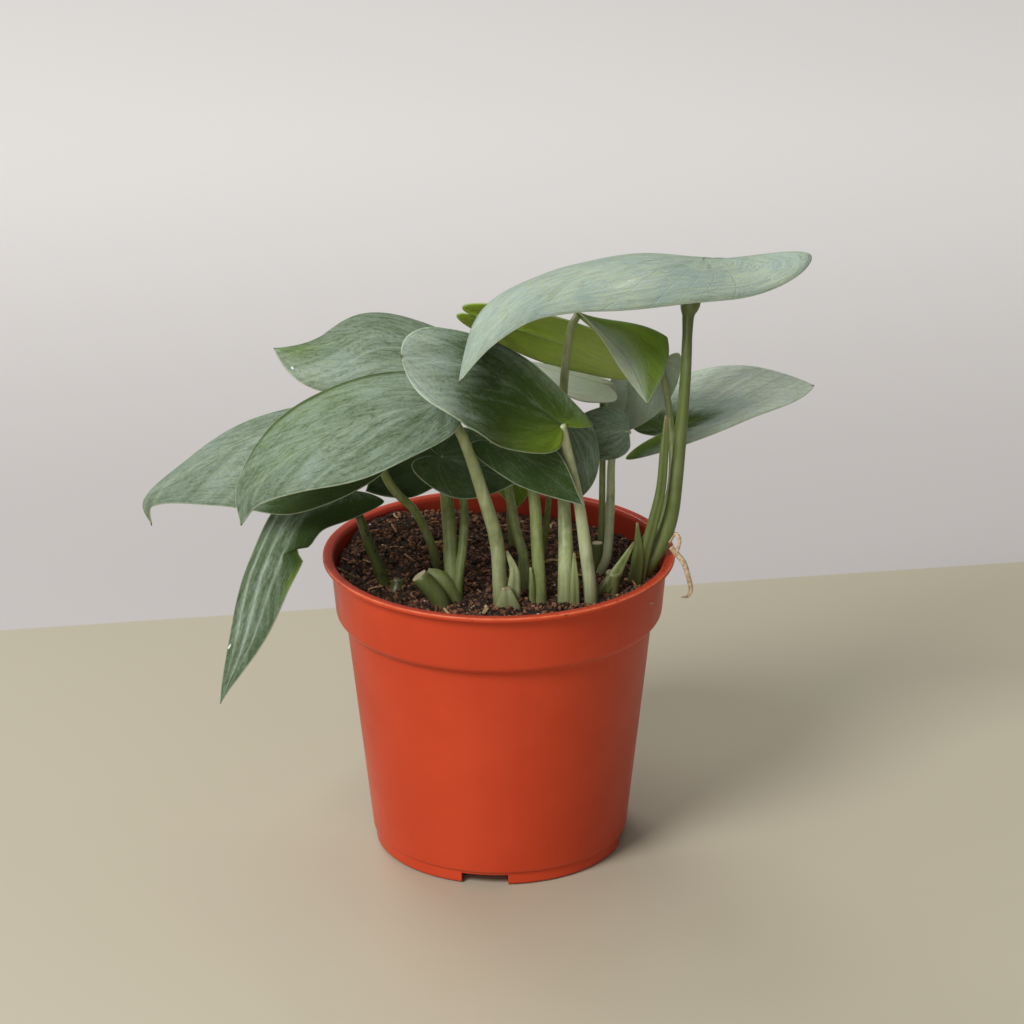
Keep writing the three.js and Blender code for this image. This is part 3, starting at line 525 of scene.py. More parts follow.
def marginLine(s, length, leaf, side):
    width, lobe, lobeOut, widest, point = (
        ofSide(leaf, key, side) for key in ("half", "lobe", "lobeOut", "widest", "point")
    )
    shoulder = ofSide(leaf, "shoulder", side, 1)
    slopes, lobeShare, widestShare = marginSlopes, leafForm["lobeShare"], leafForm["widestShare"]
    rest, widestAt = (1 - widest) * length, widest * length
    t1, t2 = s / lobeShare, (s - lobeShare) / (widestShare - lobeShare)
    t3 = (s - widestShare) / (1 - widestShare)
    parts = [s <= lobeShare, s <= widestShare]
    sideAhead = slopes["sideAhead"] * (widestAt + lobe) * shoulder
    tipAhead = rest * (slopes["tipAhead"][0] + slopes["tipAhead"][1] * point)
    tipInward = width * (slopes["tipInward"][0] - slopes["tipInward"][1] * point)
    forward = np.select(parts, [
        hermite(0, -slopes["notchBack"] * lobe, -lobe, 0, t1),
        hermite(-lobe, 0, widestAt, sideAhead, t2),
    ], hermite(widestAt, slopes["widestAhead"] * rest * shoulder, length, tipAhead, t3))
    notchOut = leaf.get("notch", slopes["notchOut"]) * width
    outward = np.select(parts, [
        hermite(0, notchOut, lobeOut, slopes["lobeOut"] * width * shoulder, t1),
        hermite(lobeOut, slopes["sideOut"] * width * shoulder, width, 0, t2),
    ], hermite(width, 0, 0, -tipInward, t3))
    for biteSide, where, reach, depth in leaf.get("bites", []):
        if biteSide == side:
            outward = outward * (1 - depth * np.exp(-(((s - where) / reach) ** 2)))
    return forward, outward


def halfBlade(leaf, side, s):
    # one half of the blade as rows of points from the rib out, s from the notch to the tip
    path, run = smoothCurve(leaf["spine"])
    length = run[-1]
    forward, outward = marginLine(s, length, leaf, side)
    ribFoot = length * ((1 - leafForm["rowBend"]) * s + leafForm["rowBend"] * s * s)
    ribFoot[0], ribFoot[-1] = 0, length
    share = np.linspace(0, 1, leafForm["columns"] + 1)[None, :]
    ahead = ribFoot[:, None] + (forward - ribFoot)[:, None] * share
    out = outward[:, None] * share
    place = np.clip(ahead, 0, length)
    spot = along(path, run, place)
    nearby = length / 100
    tangent = unit(along(path, run, np.clip(place + nearby, 0, length))
                   - along(path, run, np.clip(place - nearby, 0, length)))
    w = (place / length)[..., None]
    nearFace, farFace = unit(np.broadcast_to(leaf["face"], (2, 3)))
    face = nearFace * (1 - w) + farFace * w
    normal = unit(face - tangent * (face * tangent).sum(-1, keepdims=True))
    across = np.cross(normal, tangent) * (1 if side == 0 else -1)
    behind = np.maximum(-ahead, 0)[..., None]
    rise = math.radians(ofSide(leaf, "lift", side)) * behind / ofSide(leaf, "lobe", side) / 2
    spot = spot - tangent * behind * np.cos(rise) + normal * behind * np.sin(rise)
    fold, half = math.radians(ofSide(leaf, "fold", side)), ofSide(leaf, "half", side)
    turn = math.radians(ofSide(leaf, "curl", side)) / half
    if abs(turn) < 1e-5:
        wide, high = out * math.cos(fold), out * math.sin(fold)
    else:
        wide = (np.sin(fold + turn * out) - math.sin(fold)) / turn
        high = (math.cos(fold) - np.cos(fold + turn * out)) / turn
    ripple = leaf.get("ripple", leafForm["ripple"]) * share**2 * np.sin(math.pi * s)[:, None]
    high = high + ripple * np.sin(2 * math.pi * leafForm["rippleTurns"] * s + side)[:, None]
    points = spot + across * wide[..., None] + normal * high[..., None]
    marginRun = np.hypot(outward[:, None], (forward - ribFoot)[:, None])
    # veins leave the rib at a slant and bend towards the tip, and those of the lobe spread from the joint
    lean, bend = leafForm["veinLean"], leafForm["veinBend"] / half
    straight = ahead - bend * out**2
    vein = (straight - lean * out) / length
    spread = np.arctan2(out, straight) - math.atan2(1, lean)
    vein = np.where(vein < 0, -leafForm["lobeVeins"] * np.maximum(spread, 0), vein)
    return points, vein, out, (1 - share) * marginRun


def makeLeaf(name, leaf, material):
    rows, columns = leafForm["rows"], leafForm["columns"]
    wide = 2 * columns + 1
    s = leafForm["notchStart"] + (1 - leafForm["notchStart"]) * np.linspace(0, 1, rows + 1)
    middle, vein, ribDistance, edgeDistance = (
        np.concatenate([left[:, :0:-1], right], axis=1)
        for left, right in zip(halfBlade(leaf, 0, s), halfBlade(leaf, 1, s))
    )
    share, sGrid = np.meshgrid(np.linspace(-1, 1, wide), s)
    sideways = np.gradient(middle, axis=1)
    sideways[-1] = sideways[-2]
    normal = unit(-np.cross(np.gradient(middle, axis=0), sideways))

    # the blade swells between the veins, has a rib below with a groove above it, and thins out to its margin
    size = np.max(leaf["half"]) / leafForm["fullHalf"]
    swell = leafForm["veinSwell"] * min(size, 1.2) * np.sin(math.pi * leafForm["veins"] * vein) ** 2
    swell *= np.clip(np.abs(share) * 6, 0, 1) * np.clip((1 - np.abs(share)) * 4, 0, 1)
    middle = middle + normal * (swell * (1 - sGrid))[..., None]
    ribWidth = np.maximum(leafForm["ribWidth"] * size * (1.1 - sGrid), 0.2)
    ridge = np.exp(-((ribDistance / ribWidth) ** 2)) * np.clip(1.15 - sGrid, 0, 1) * min(size, 1)
    thin = np.clip(edgeDistance / leafForm["marginWidth"], 0, 1)
    thick = leafForm["marginThickness"] + (leafForm["thickness"] - leafForm["marginThickness"]) * thin
    topSide = middle + normal * (thick / 2 - leafForm["ribGroove"] * ridge)[..., None]
    lowSide = middle - normal * (thick / 2 + leafForm["ribHeight"] * ridge)[..., None]

    # all points but the last row, which is one point, the tip
    def kept(grid):
        return np.concatenate([grid[:rows].reshape(rows * wide, -1), grid[rows:, columns].reshape(1, -1)])

    tip = rows * wide
    count = tip + 1
    points = np.concatenate([kept(topSide), kept(lowSide)])

    def corner(r, c):
        return r * wide + c if r < rows else tip

    faces = []
    for r in range(rows):
        for c in range(wide - 1):
            ring = [corner(r, c), corner(r, c + 1), corner(r + 1, c + 1)]
            if r < rows - 1:
                ring.append(corner(r + 1, c))
            faces.append(ring)
            faces.append([count + v for v in reversed(ring)])
    rim = [corner(r, wide - 1) for r in range(rows)] + [tip] + [corner(r, 0) for r in range(rows - 1, -1, -1)]
    rim += [corner(0, c) for c in range(1, wide - 1)]
    for here, there in zip(rim, rim[1:] + rim[:1]):
        faces.append([there, here, count + here, count + there])
    piece = meshObject(name, points, faces)
    turnOutward(piece)

    def spot(place, run, across, long):
        return np.exp(-(((share - place) / across) ** 2) - ((sGrid - run) / long) ** 2)

    values = {"ribDistance": ribDistance, "edgeDistance": edgeDistance}
    values.update({"share": share, "run": sGrid, "vein": vein})
    for level in ("silver", "warm", "shade", "fleck"):
        values[level] = np.full(share.shape, float(leaf.get(level, 0.0)))
    for level, *where, change in leaf.get("patches", []):
        values[level] += change * spot(*where)
    for fleck in leaf.get("flecks", []):
        values["fleck"] += spot(*fleck)
    for label, grid in values.items():
        addValues(piece.data, label, np.tile(kept(grid)[:, 0], 2))
    addValues(piece.data, "upper", np.repeat([1, 0], count))
    return settle(piece, [name], material)


leafLook = {
    "green": (0.034, 0.068, 0.011),
    "midGreen": (0.142, 0.196, 0.125),
    "silver": (0.40, 0.475, 0.365),
    "blueSilver": (0.31, 0.395, 0.345),
    # pale is painted light, for blades lying under others that still look brightly lit
    "pale": (0.84, 0.91, 0.78),
    "warm": (0.20, 0.32, 0.022),
    "under": (0.075, 0.125, 0.022),
    # underWarm is partly the undersides' own yellow-green and partly painted light shining through a backlit
    # blade
    "underWarm": (0.27, 0.42, 0.013),
    "underPale": (0.50, 0.60, 0.17),
    "rib": (0.46, 0.53, 0.38),
    "margin": (0.50, 0.56, 0.42),
    "tip": (0.11, 0.08, 0.03),
    # painted shade: the dark green of blades lying in the shadow of others
    "shade": (0.02, 0.03, 0.01),
    "fleck": (0.85, 0.86, 0.82),
    "rough": (0.44, 0.6),
    "specular": 0.18,
    "glow": (0.22, (0.5, 1.0, 0.12), 0.0012),   # light through the skin: weight, colours, reach in metres
    "bump": (0.6, 0.0006),                      # strength, height in metres
}


def makeLeafPaint(look):
    paint, tree, shader = newPaint("leafPaint")
    vein, share, run = valueOf(tree, "vein"), valueOf(tree, "share"), valueOf(tree, "run")
    silver, warm, ribDistance = valueOf(tree, "silver"), valueOf(tree, "warm"), valueOf(tree, "ribDistance")
    place = placeOf(tree)
    side = times(tree, calc(tree, "SIGN", share), 7.0)   # each half of the blade has noise of its own

    def streaks(across, dense, onward, long, detail, rough=0.6):
        # noise drawn out along one way of the blade
        spot = joined(tree, times(tree, across, dense), times(tree, onward, long), side)
        return grainOf(tree, spot, 1, detail, rough)

    # bands follow the veins, the finer patterns run from the joint to the tip
    bentVein = calc(tree, "MULTIPLY_ADD", grainOf(tree, place, 60, 3), 0.05, vein)
    bentShare = calc(tree, "MULTIPLY_ADD", grainOf(tree, place, 70, 3), 0.16, share)
    bands = streaks(bentVein, 11, ribDistance, 0.06, 2, 0.5)
    lines = streaks(bentShare, 18, run, 5, 3)
    fibres = streaks(bentShare, 46, run, 14, 2)
    folds = streaks(bentShare, 8, run, 5, 3)
    crease = ease(tree, calc(tree, "ABSOLUTE", calc(tree, "SUBTRACT", folds, 0.5)), 0.0, 0.022, 1.0, 0.0)
    mottle, clouds = grainOf(tree, place, 900, 3, 0.65), grainOf(tree, place, 95, 3, 0.6)
    wave = calc(tree, "PINGPONG", times(tree, bentVein, float(leafForm["veins"])), 0.5)
    veinLine = ease(tree, wave, 0.0, 0.05, 1.0, 0.0)
    ribLine = ease(tree, times(tree, ribDistance, plus(tree, run, 0.65)), 0.15, 0.6, 1.0, 0.0)
    ribBand = ease(tree, ribDistance, 0.4, 2.6, 1.0, 0.0)
    edgeLine = ease(tree, valueOf(tree, "edgeDistance"), 0.12, 0.5, 0.55, 0.0)

    # cover is how much silver lies over the green
    noises = ((bands, 0.55), (lines, 0.22), (fibres, 0.165), (mottle, 0.33), (clouds, 0.385))
    middle = sum(weight for _, weight in noises) / 2
    # the creases take silver off: a darker line, partly the blade's own tone and partly painted shade in the
    # folds
    marks = ((veinLine, 0.03), (crease, -0.14), (ribBand, 0.05))
    cover = weighed(tree, plus(tree, silver, -middle), noises + marks)
    cool = ease(tree, calc(tree, "MULTIPLY_ADD", lines, 0.8, clouds), 0.7, 1.15)
    silverTone = blendColour(tree, cool, look["silver"], look["blueSilver"])
    top = blendColour(tree, ease(tree, cover, 0.0, 0.55), look["green"], look["midGreen"])
    top = layered(tree, blendColour(tree, ease(tree, cover, 0.3, 1.0), top, silverTone), look, (
        # silver past 1 turns pale: painted light
        (ease(tree, cover, 1.1, 2.1), "pale"),
        (times(tree, warm, plus(tree, bands, 0.4), clamp=True), "warm"),
        (times(tree, ribLine, calc(tree, "MULTIPLY_ADD", silver, 0.16, 0.05), clamp=True), "rib"),
    ))
    low = layered(tree, blendColour(tree, warm, look["under"], look["underWarm"]), look, (
        (times(tree, silver, warm, clamp=True), "underPale"),
        (ease(tree, lines, 0.45, 0.75, 0.0, 0.25), "midGreen"),
        (times(tree, veinLine, 0.15), "rib"),
        (times(tree, ribLine, 0.35), "rib"),
    ))
    colour = layered(tree, blendColour(tree, valueOf(tree, "upper"), low, top), look, (
        # painted shade, from each blade's shade level and shade patches
        (valueOf(tree, "shade"), "shade"),
        (edgeLine, "margin"),
        (ease(tree, run, 0.986, 0.999), "tip"),
        (ease(tree, valueOf(tree, "fleck"), 0.35, 0.6), "fleck"),
    ))
    feed(tree, shader.inputs["Base Color"], colour)
    feed(tree, shader.inputs["Roughness"], ease(tree, fibres, 0.25, 0.75, *look["rough"]))
    setSkin(shader, look)
    heights = ((veinLine, -0.25), (lines, 0.7), (fibres, 0.7), (mottle, 0.5), (crease, -0.35))
    addBump(tree, shader, weighed(tree, 0.0, heights), *look["bump"])
    return paint


leafPaint = makeLeafPaint(leafLook)
for name, leaf in leafBlades.items():
    makeLeaf(name, leaf, leafPaint)
print("leaves:", len(leafBlades))

# Stalks, sheaths and stubs. The points of a sweep's line are [x, y, z, radius] in mm, from the foot up, and
# flat says how flat its section is (1 is round). flare: extra radius where the stalk meets its blade. cut: a
# flat cut end. sheath: a hollow, pointed leaf base. shade, pale and spots are levels of the whole shoot.
# The pale level is painted light on shoots lying in shadow under the leaves.
shootSpecs = {
    "shoot_hanging_left": {
        "shade": 1.0, "spots": 0.9, "sweeps": [
            {"line": [[-39, -10.7, 86, 2.5], [-38.5, -10.5, 96, 2.4], [-43.5, -11, 111.5, 1.8],
                      [-47.5, -11.5, 124, 1.4], [-51.5, -12.5, 131, 1.2]]},
            {"line": [[-36, -13, 90, 3], [-34.5, -13.5, 96, 3.6], [-34, -13.5, 100, 1.6]]},
        ],
    },
    "shoot_far_left": {
        "shade": 0.15, "sweeps": [
            {"line": [[-20.5, 3, 86, 1.7], [-21, 3, 96.5, 1.7], [-23.5, 1, 108.5, 1.5],
                      [-28.5, -3, 121, 1.5], [-37, -8, 133.5, 1.5], [-45.5, -12, 158.5, 1.2]]},
        ],
    },
    "shoot_upper_left": {
        "shade": 0.25, "sweeps": [
            {"line": [[-14, -21, 86, 2.5], [-15.5, -21, 99, 2.5], [-16.5, -14, 118, 2.4],
                      [-17.5, -8, 128.5, 2.2], [-18, -2, 142.5, 1.8], [-19, -3, 160.5, 1.5],
                      [-19.5, -10, 180.5, 1.3]]},
            {"line": [[-12, -22.5, 88, 3], [-16, -22.5, 98, 3.2], [-20, -23, 104.5, 2.8],
                      [-24, -23, 106.5, 1.6]]},
            {"line": [[-13.5, -21.5, 96, 1.6], [-13.6, -21.5, 102, 1.6], [-12.2, -18, 112.5, 1.6],
                      [-11.5, -14, 121.5, 1.5], [-12, -10, 129, 1.4], [-14.5, -8, 139, 1.2],
                      [-19.5, -12, 144, 1.1]]},
        ],
    },
    "shoot_dark_back_left": {
        "shade": 0.4, "sweeps": [
            {"line": [[-16, -5, 86, 1.2], [-17, -5, 103.5, 1.2], [-17.5, 5, 114.5, 1.1],
                      [-17.5, 11, 123, 1.1], [-20, 9, 134, 1]]},
        ],
    },
    "shoot_big_left": {
        "pale": 0.35, "sweeps": [
            {"line": [[1.5, -27, 86, 2.4], [0.5, -27, 98, 2.4], [-0.5, -28, 118.5, 2.4],
                      [-4.5, -31, 135.5, 2.2], [-11.5, -35, 159, 1.8], [-19, -38, 172.5, 1.3]]},
            {"line": [[4, -27.5, 88, 2], [5, -27.5, 102, 2.4], [5.2, -27.8, 109, 1.6],
                      [2.6, -27.5, 116, 0.5]], "flat": 0.6, "sheath": True},
            {"line": [[3, -30, 88, 4.2], [3, -31, 97, 4.4],
                      [2.4, -31, 104.5, 1.4]], "flat": 0.45, "sheath": True},
        ],
    },
    "shoot_backlit": {
        "shade": 0.15, "sweeps": [
            {"line": [[6, -13, 86, 2], [6.5, -13, 96, 2], [8.5, -11, 106, 1.8], [6, -8, 115.5, 1.6],
                      [3.5, -1, 127.5, 1.5], [0.5, 8, 146, 1.4], [-1.5, 18, 182, 1.2]]},
            {"line": [[9, -14, 88, 1.6], [9.4, -14, 98, 2], [8.5, -12.5, 107, 1.6],
                      [8, -11, 112, 0.5]], "flat": 0.7, "sheath": True},
        ],
    },
    "shoot_pointed_front": {
        "shade": 0.05, "sweeps": [
            {"line": [[14, -24, 86, 2.3], [14, -24.5, 96, 2.2], [13, -22, 114, 2.1],
                      [11.5, -19, 134.5, 1.9], [6.5, -20, 148.5, 1.5], [-3, -26, 154.5, 1.2]]},
            {"line": [[11.6, -25, 90, 1.4], [11.2, -25.2, 102, 1.2], [10.6, -25, 109, 0.4]]},
        ],
    },
    "shoot_grey_middle": {
        "shade": 0.2, "sweeps": [
            {"line": [[14, 11, 86, 1.1], [15, 10, 100, 1.1], [16, 8, 108, 1.1], [17, 0, 123.5, 1],
                      [19, -9.5, 141.5, 1], [23.5, -14, 156, 1]]},
        ],
    },
    "shoot_channelled": {
        "pale": 0.25, "sweeps": [
            {"line": [[22.5, -25, 86, 3], [22.5, -25, 95.5, 2.9], [22.5, -21, 112, 2.6],
                      [22, -12, 127, 2.1], [21.5, -3, 146.8, 1.6], [22, -1.5, 165.7, 1.45],
                      [24, 1, 182.8, 1.4], [26.6, 5.2, 187.7, 1.3]]},
            {"line": [[25.6, -27, 90, 1.7], [25.4, -27.4, 104, 1.5],
                      [25.2, -27, 115, 0.4]], "flat": 0.7, "sheath": True},
        ],
    },
    "shoot_cupped_front": {
        "pale": 0.68, "sweeps": [
            {"line": [[30.8, -24, 86, 2.4], [31, -24.5, 96, 2.4], [29.5, -24.5, 111.5, 2.2],
                      [26.5, -25, 133.5, 1.8], [22.5, -26, 153, 1.6], [21, -28, 161, 1.4]]},
        ],
    },
    "shoot_round_right": {
        "pale": 0.9, "sweeps": [
            {"line": [[34, 0, 86, 1.6], [34.5, 0, 96, 1.6], [37, 0.5, 104, 1.6], [38, 4, 122, 1.5],
                      [38.5, 9, 135, 1.3], [41, 9.5, 142, 1.2], [44, 6, 146, 1.1]]},
        ],
    },
    "shoot_pale_back": {
        "shade": 0.2, "sweeps": [
            {"line": [[33, 12, 86, 1.2], [35, 12, 102, 1.2], [35.5, 16, 128, 1.1], [35.5, 18, 145, 1.1],
                      [35.5, 19, 158.5, 1]]},
        ],
    },
    "shoot_narrow_back": {
        "shade": 0.2, "sweeps": [
            {"line": [[37, 18, 86, 1], [38, 18, 100, 1], [38.5, 24, 125.5, 1], [39, 29, 142, 0.9]]},
        ],
    },
    "shoot_silver_back": {
        "shade": 0.1, "sweeps": [
            {"line": [[47, 9, 86, 1.4], [52, 9, 103, 1.4], [57, 12, 115, 1.4], [59.5, 18, 127.5, 1.3],
                      [58.5, 27, 146.5, 1.2], [55.5, 30, 162.5, 1.1]]},
        ],
    },
    "shoot_right": {
        "shade": 0.1, "sweeps": [
            {"line": [[45, 15.5, 86, 1.4], [50, 15.5, 102, 1.4], [57, 19.5, 113, 1.4], [61, 27, 124.5, 1.3],
                      [61, 33, 131, 1.2], [60.5, 39, 135, 1.2]]},
        ],
    },
    "shoot_top": {
        "shade": 0.68, "sweeps": [
            {"line": [[44.5, -6, 86, 3], [48.5, -5, 97.5, 3], [54, -4.5, 107, 2.8], [58, -4, 118, 2.6],
                      [60, -3.5, 133, 2.3], [62.5, -1, 164, 1.9], [63.3, 2.5, 181, 1.7],
                      [63.6, 4.2, 187.5, 2.0], [64.3, 5.2, 191.5, 3.3],
                      [67.4, 8.1, 203.2, 2.6]], "flare": 1.5},
            {"line": [[46, -8.5, 88, 2.4], [48.5, -8.5, 104, 2.4], [51.5, -8, 116, 1.9],
                      [54.6, -7.5, 130, 1.7], [55.6, -6.8, 144, 1.5],
                      [56.2, -6, 156, 0.5]], "flat": 0.75, "sheath": True},
            {"line": [[45, -9.5, 88, 2.4], [47, -10, 106, 2.2],
                      [46.7, -9.5, 119, 0.4]], "flat": 0.6, "sheath": True},
        ],
    },
    "shoot_young_back": {
        "shade": 0.1, "sweeps": [
            {"line": [[4, 22, 86, 1.2], [4.5, 22, 95, 1.2], [3.5, 21, 115.5, 1], [3, 18, 134.5, 0.9]]},
        ],
    },
    "stub_front_left": {
        "shade": 0.75, "sweeps": [
            {"line": [[-18.6, -28, 88, 3], [-19.6, -28, 98, 3], [-26.6, -28, 107.5, 2.8]], "cut": True},
        ],
    },
    "stub_front_right": {
        "shade": 0.3, "sweeps": [
            {"line": [[37.5, -17, 88, 2.4], [38, -17, 96, 2.4], [38.6, -17, 104, 2.6]], "cut": True},
            {"line": [[34, -20, 88, 2.2], [34, -20, 96, 2.4], [39.2, -18, 103.6, 2.2],
                      [45.6, -14, 113.7, 0.4]], "flat": 0.45, "sheath": True},
        ],
    },
    "stub_back_right": {
        "shade": 0.5, "sweeps": [
            {"line": [[33.6, 5, 88, 2.1], [33.6, 5, 98, 2.1], [33.6, 5, 106, 1.8]], "cut": True},
        ],
    },
}
sweepForm = {
    "sides": 18,
    "ringsPerSpan": 8,
    "groove": (0.16, 1.2, 0.35),     # depth, place round the section and width in radians
    "sheathGroove": (0.5, -1.2, 0.6),
    "flareReach": 4.0,               # mm along the stalk
    "cutRim": 0.93,                  # shares of the radius where a cut end turns and sinks in
    "cutCore": 0.5,
    "cutSink": 0.25,
}


def sweepRings(spec, form):
    sides, line = form["sides"], np.array(spec["line"], float)
    spans = len(line) - 1
    rings = spans * form["ringsPerSpan"]
    curve, run = smoothCurve(line[:, :3], rings)
    tangent = unit(np.gradient(curve, axis=0))
    radii = np.interp(np.linspace(0, spans, rings + 1), range(spans + 1), line[:, 3])
    radii = radii + spec.get("flare", 0) * np.exp(-((run[-1] - run) / form["flareReach"]))
    front = np.array([0, -1, 0.01])
    thin = unit(front - tangent * (tangent @ front)[:, None])
    broad = np.cross(tangent, thin)
    angle = np.linspace(0, 2 * math.pi, sides, endpoint=False)
    depth, grooveAt, grooveWide = form["sheathGroove"] if spec.get("sheath") else form["groove"]
    away = np.mod(angle - grooveAt + math.pi, 2 * math.pi) - math.pi
    ring = radii[:, None] * (1 - depth * np.exp(-((away / grooveWide) ** 2)))[None, :]
    flat = spec.get("flat", 1)
    points = curve[:, None] + ring[..., None] * (
        broad[:, None] * np.cos(angle)[None, :, None] - thin[:, None] * (flat * np.sin(angle))[None, :, None]
    )
    cut = np.zeros(len(points))
    end = curve[-1]
    if spec.get("cut"):
        inner = end + (points[-1] - end) * form["cutRim"]
        core = end + (points[-1] - end) * form["cutCore"] - tangent[-1] * form["cutSink"]
        points = np.concatenate([points, [inner, core]])
        cut = np.concatenate([cut, [1, 1]])
        end = end - tangent[-1] * form["cutSink"]
    return points, curve[0], end, cut


def sweepMesh(spec, form=sweepForm):
    sides = form["sides"]
    rings, start, end, cut = sweepRings(spec, form)
    count = len(rings)
    points = np.concatenate([rings.reshape(-1, 3), [start, end]])
    first, last = count * sides, count * sides + 1
    faces = []
    for k in range(sides):
        after = (k + 1) % sides
        for i in range(count - 1):
            faces.append([i * sides + k, i * sides + after, (i + 1) * sides + after, (i + 1) * sides + k])
        faces.append([first, after, k])
        faces.append([last, (count - 1) * sides + k, (count - 1) * sides + after])
    height = np.concatenate([np.repeat(np.linspace(0, 1, count), sides), [0, 1]])
    return points, faces, height, np.concatenate([np.repeat(cut, sides), [0, cut[-1]]])


def makeShoot(name, spec, material):
    points, faces, values, base = [], [], {"height": [], "cut": [], "sheath": []}, 0
    for sweep in spec["sweeps"]:
        morePoints, moreFaces, height, cut = sweepMesh(sweep)
        points.append(morePoints)
        faces += [[v + base for v in face] for face in moreFaces]
        values["height"].append(height)
        values["cut"].append(cut)
        values["sheath"].append(np.full(len(height), 1.0 if sweep.get("sheath") else 0.0))
        base += len(morePoints)
    piece = meshObject(name, np.concatenate(points), faces)
    turnOutward(piece)
    for level, parts in values.items():
        addValues(piece.data, level, np.concatenate(parts))
    for level in ("shade", "pale", "spots"):
        addValues(piece.data, level, np.full(base, spec.get(level, 0.0)))
    return settle(piece, [name], material)


stalkLook = {
    "green": (0.22, 0.27, 0.075),
    "pale": (0.54, 0.57, 0.35),
    "dark": (0.060, 0.090, 0.013),
    "foot": (0.085, 0.080, 0.028),
    "spot": (0.018, 0.022, 0.008),
    "cut": (0.50, 0.40, 0.24),
    "brown": (0.22, 0.17, 0.08),
    "lines": (700, 700, 40),         # grain across and along the stalks
    "footReach": (0.098, 0.116),     # metres above the ground, where the darker foot colour fades out
    "rough": (0.35, 0.5),
    "specular": 0.5,
    "glow": (0.15, (0.6, 1.0, 0.25), 0.0015),
    "bump": (0.35, 0.0004),
}


def makeStalkPaint(look):
    paint, tree, shader = newPaint("stalkPaint")
    place = placeOf(tree)
    lines = grainOf(tree, placeOf(tree, look["lines"]), 1, 3, 0.6)
    clouds, spots = grainOf(tree, place, 110, 3, 0.6), grainOf(tree, place, 520, 2, 0.5)
    height = split(tree, place)[2]
    # the pale streaks are the stalks' own, the pale level on top is painted light
    paleStreaksAndPaintedLight = plus(tree, ease(tree, lines, 0.38, 0.72, 0.0, 0.4), valueOf(tree, "pale"), clamp=True)
    dry = ease(tree, valueOf(tree, "height"), 0.88, 1.0)
    # darker towards the foot of each stalk
    low = ease(tree, calc(tree, "MULTIPLY_ADD", clouds, 0.012, height), *look["footReach"], 0.65, 0.0)
    colour = blendColour(tree, times(tree, paleStreaksAndPaintedLight, 0.9), look["green"], look["pale"])
    colour = layered(tree, colour, look, (
        (ease(tree, clouds, 0.45, 0.75, 0.0, 0.5), "dark"),
        (valueOf(tree, "shade"), "dark"),
        (times(tree, ease(tree, spots, 0.60, 0.66), valueOf(tree, "spots")), "spot"),
        (low, "foot"),
        (times(tree, valueOf(tree, "sheath"), dry), "brown"),
        (times(tree, valueOf(tree, "cut"), ease(tree, spots, 0.4, 0.6, 0.75, 1.0)), "cut"),
    ))
    feed(tree, shader.inputs["Base Color"], colour)
    feed(tree, shader.inputs["Roughness"], ease(tree, lines, 0.3, 0.7, *look["rough"]))
    setSkin(shader, look)
    addBump(tree, shader, lines, *look["bump"])
    return paint


stalkPaint = makeStalkPaint(stalkLook)
for name, spec in shootSpecs.items():
    makeShoot(name, spec, stalkPaint)
print("shoots:", len(shootSpecs))

# The long root leaves the thick right stem, passes over the lip and hangs outside, a short one loops back.
aerialRoot = {
    "sweeps": [
        {"line": [[58.2, -8.2, 109.5, 0.95], [60.1, -8.5, 107.2, 1.0], [62.6, -8.8, 104, 0.95],
                  [64.3, -9, 98.6, 0.85], [65.1, -9, 94.2, 0.75], [64, -9.5, 92, 0.5],
                  [61.9, -11, 92.3, 0.2]]},
        {"line": [[57.6, -6, 110.2, 0.6], [59.7, -5, 113.1, 0.65], [61.2, -7, 111.7, 0.6],
                  [60.6, -8.4, 109, 0.6], [60, -8.6, 107.6, 0.5]]},
    ],
}
rootLook = {"dark": (0.40, 0.27, 0.15), "pale": (0.64, 0.51, 0.34), "rough": 0.75, "bump": (0.5, 0.0004)}


def makeRootPaint(look):
    paint, tree, shader = newPaint("rootPaint")
    grain, fine = grainOf(tree, placeOf(tree), 700, 3, 0.65), grainOf(tree, placeOf(tree), 2200)
    colour = blendColour(tree, ease(tree, grain, 0.35, 0.6), look["dark"], look["pale"])
    feed(tree, shader.inputs["Base Color"], colour)
    shader.inputs["Roughness"].default_value = look["rough"]
    addBump(tree, shader, plus(tree, grain, fine), *look["bump"])
    return paint


rootPaint = makeRootPaint(rootLook)
makeShoot("aerial_root", aerialRoot, rootPaint)

# Pot: one moulded piece, sizes in mm.
potForm = {
    "height": 105.0,
    "lipRadius": 60.0,
    "lipInner": 57.0,
    "lipThickness": 1.4,
    "collarTop": 57.4,
    "collarLow": 55.7,
    "collarStep": 84.0,
    "wallTop": 52.4,
    "wallLow": 44.1,
    "wall": 1.2,
    "foot": 43.2,
    "footHeight": 5.0,
    "footWidth": 3.4,
    "pad": 12.0,
    "floor": 3.0,
    "notchWidth": 16.0,
    "notchReach": 14.8,
    "notchHeight": 3.8,
    "notchTurn": -97.0,
    "notches": 4,
    "drainRadius": 4.0,
    "drainDepth": 12.0,
    "drainCircle": 27.0,
    "drains": 6,
    "segments": 160,
    "sharpAngle": 38.0,
}


def roundCorners(profile, radii, steps=5):
    # each corner with a radius is replaced by a short arc
    made = []
    for i, (point, radius) in enumerate(zip(profile, radii)):
        if radius <= 0 or i in (0, len(profile) - 1):
            made.append(point)
            continue
        here, before, after = (np.array(p, float) for p in (point, profile[i - 1], profile[i + 1]))
        inward, onward = unit(before - here), unit(after - here)
        reach = min(radius, np.linalg.norm(before - here) * 0.45, np.linalg.norm(after - here) * 0.45)
        start, end = here + inward * reach, here + onward * reach
        for t in np.linspace(0, 1, steps):
            made.append(tuple((1 - t) ** 2 * start + 2 * t * (1 - t) * here + t * t * end))
    return made


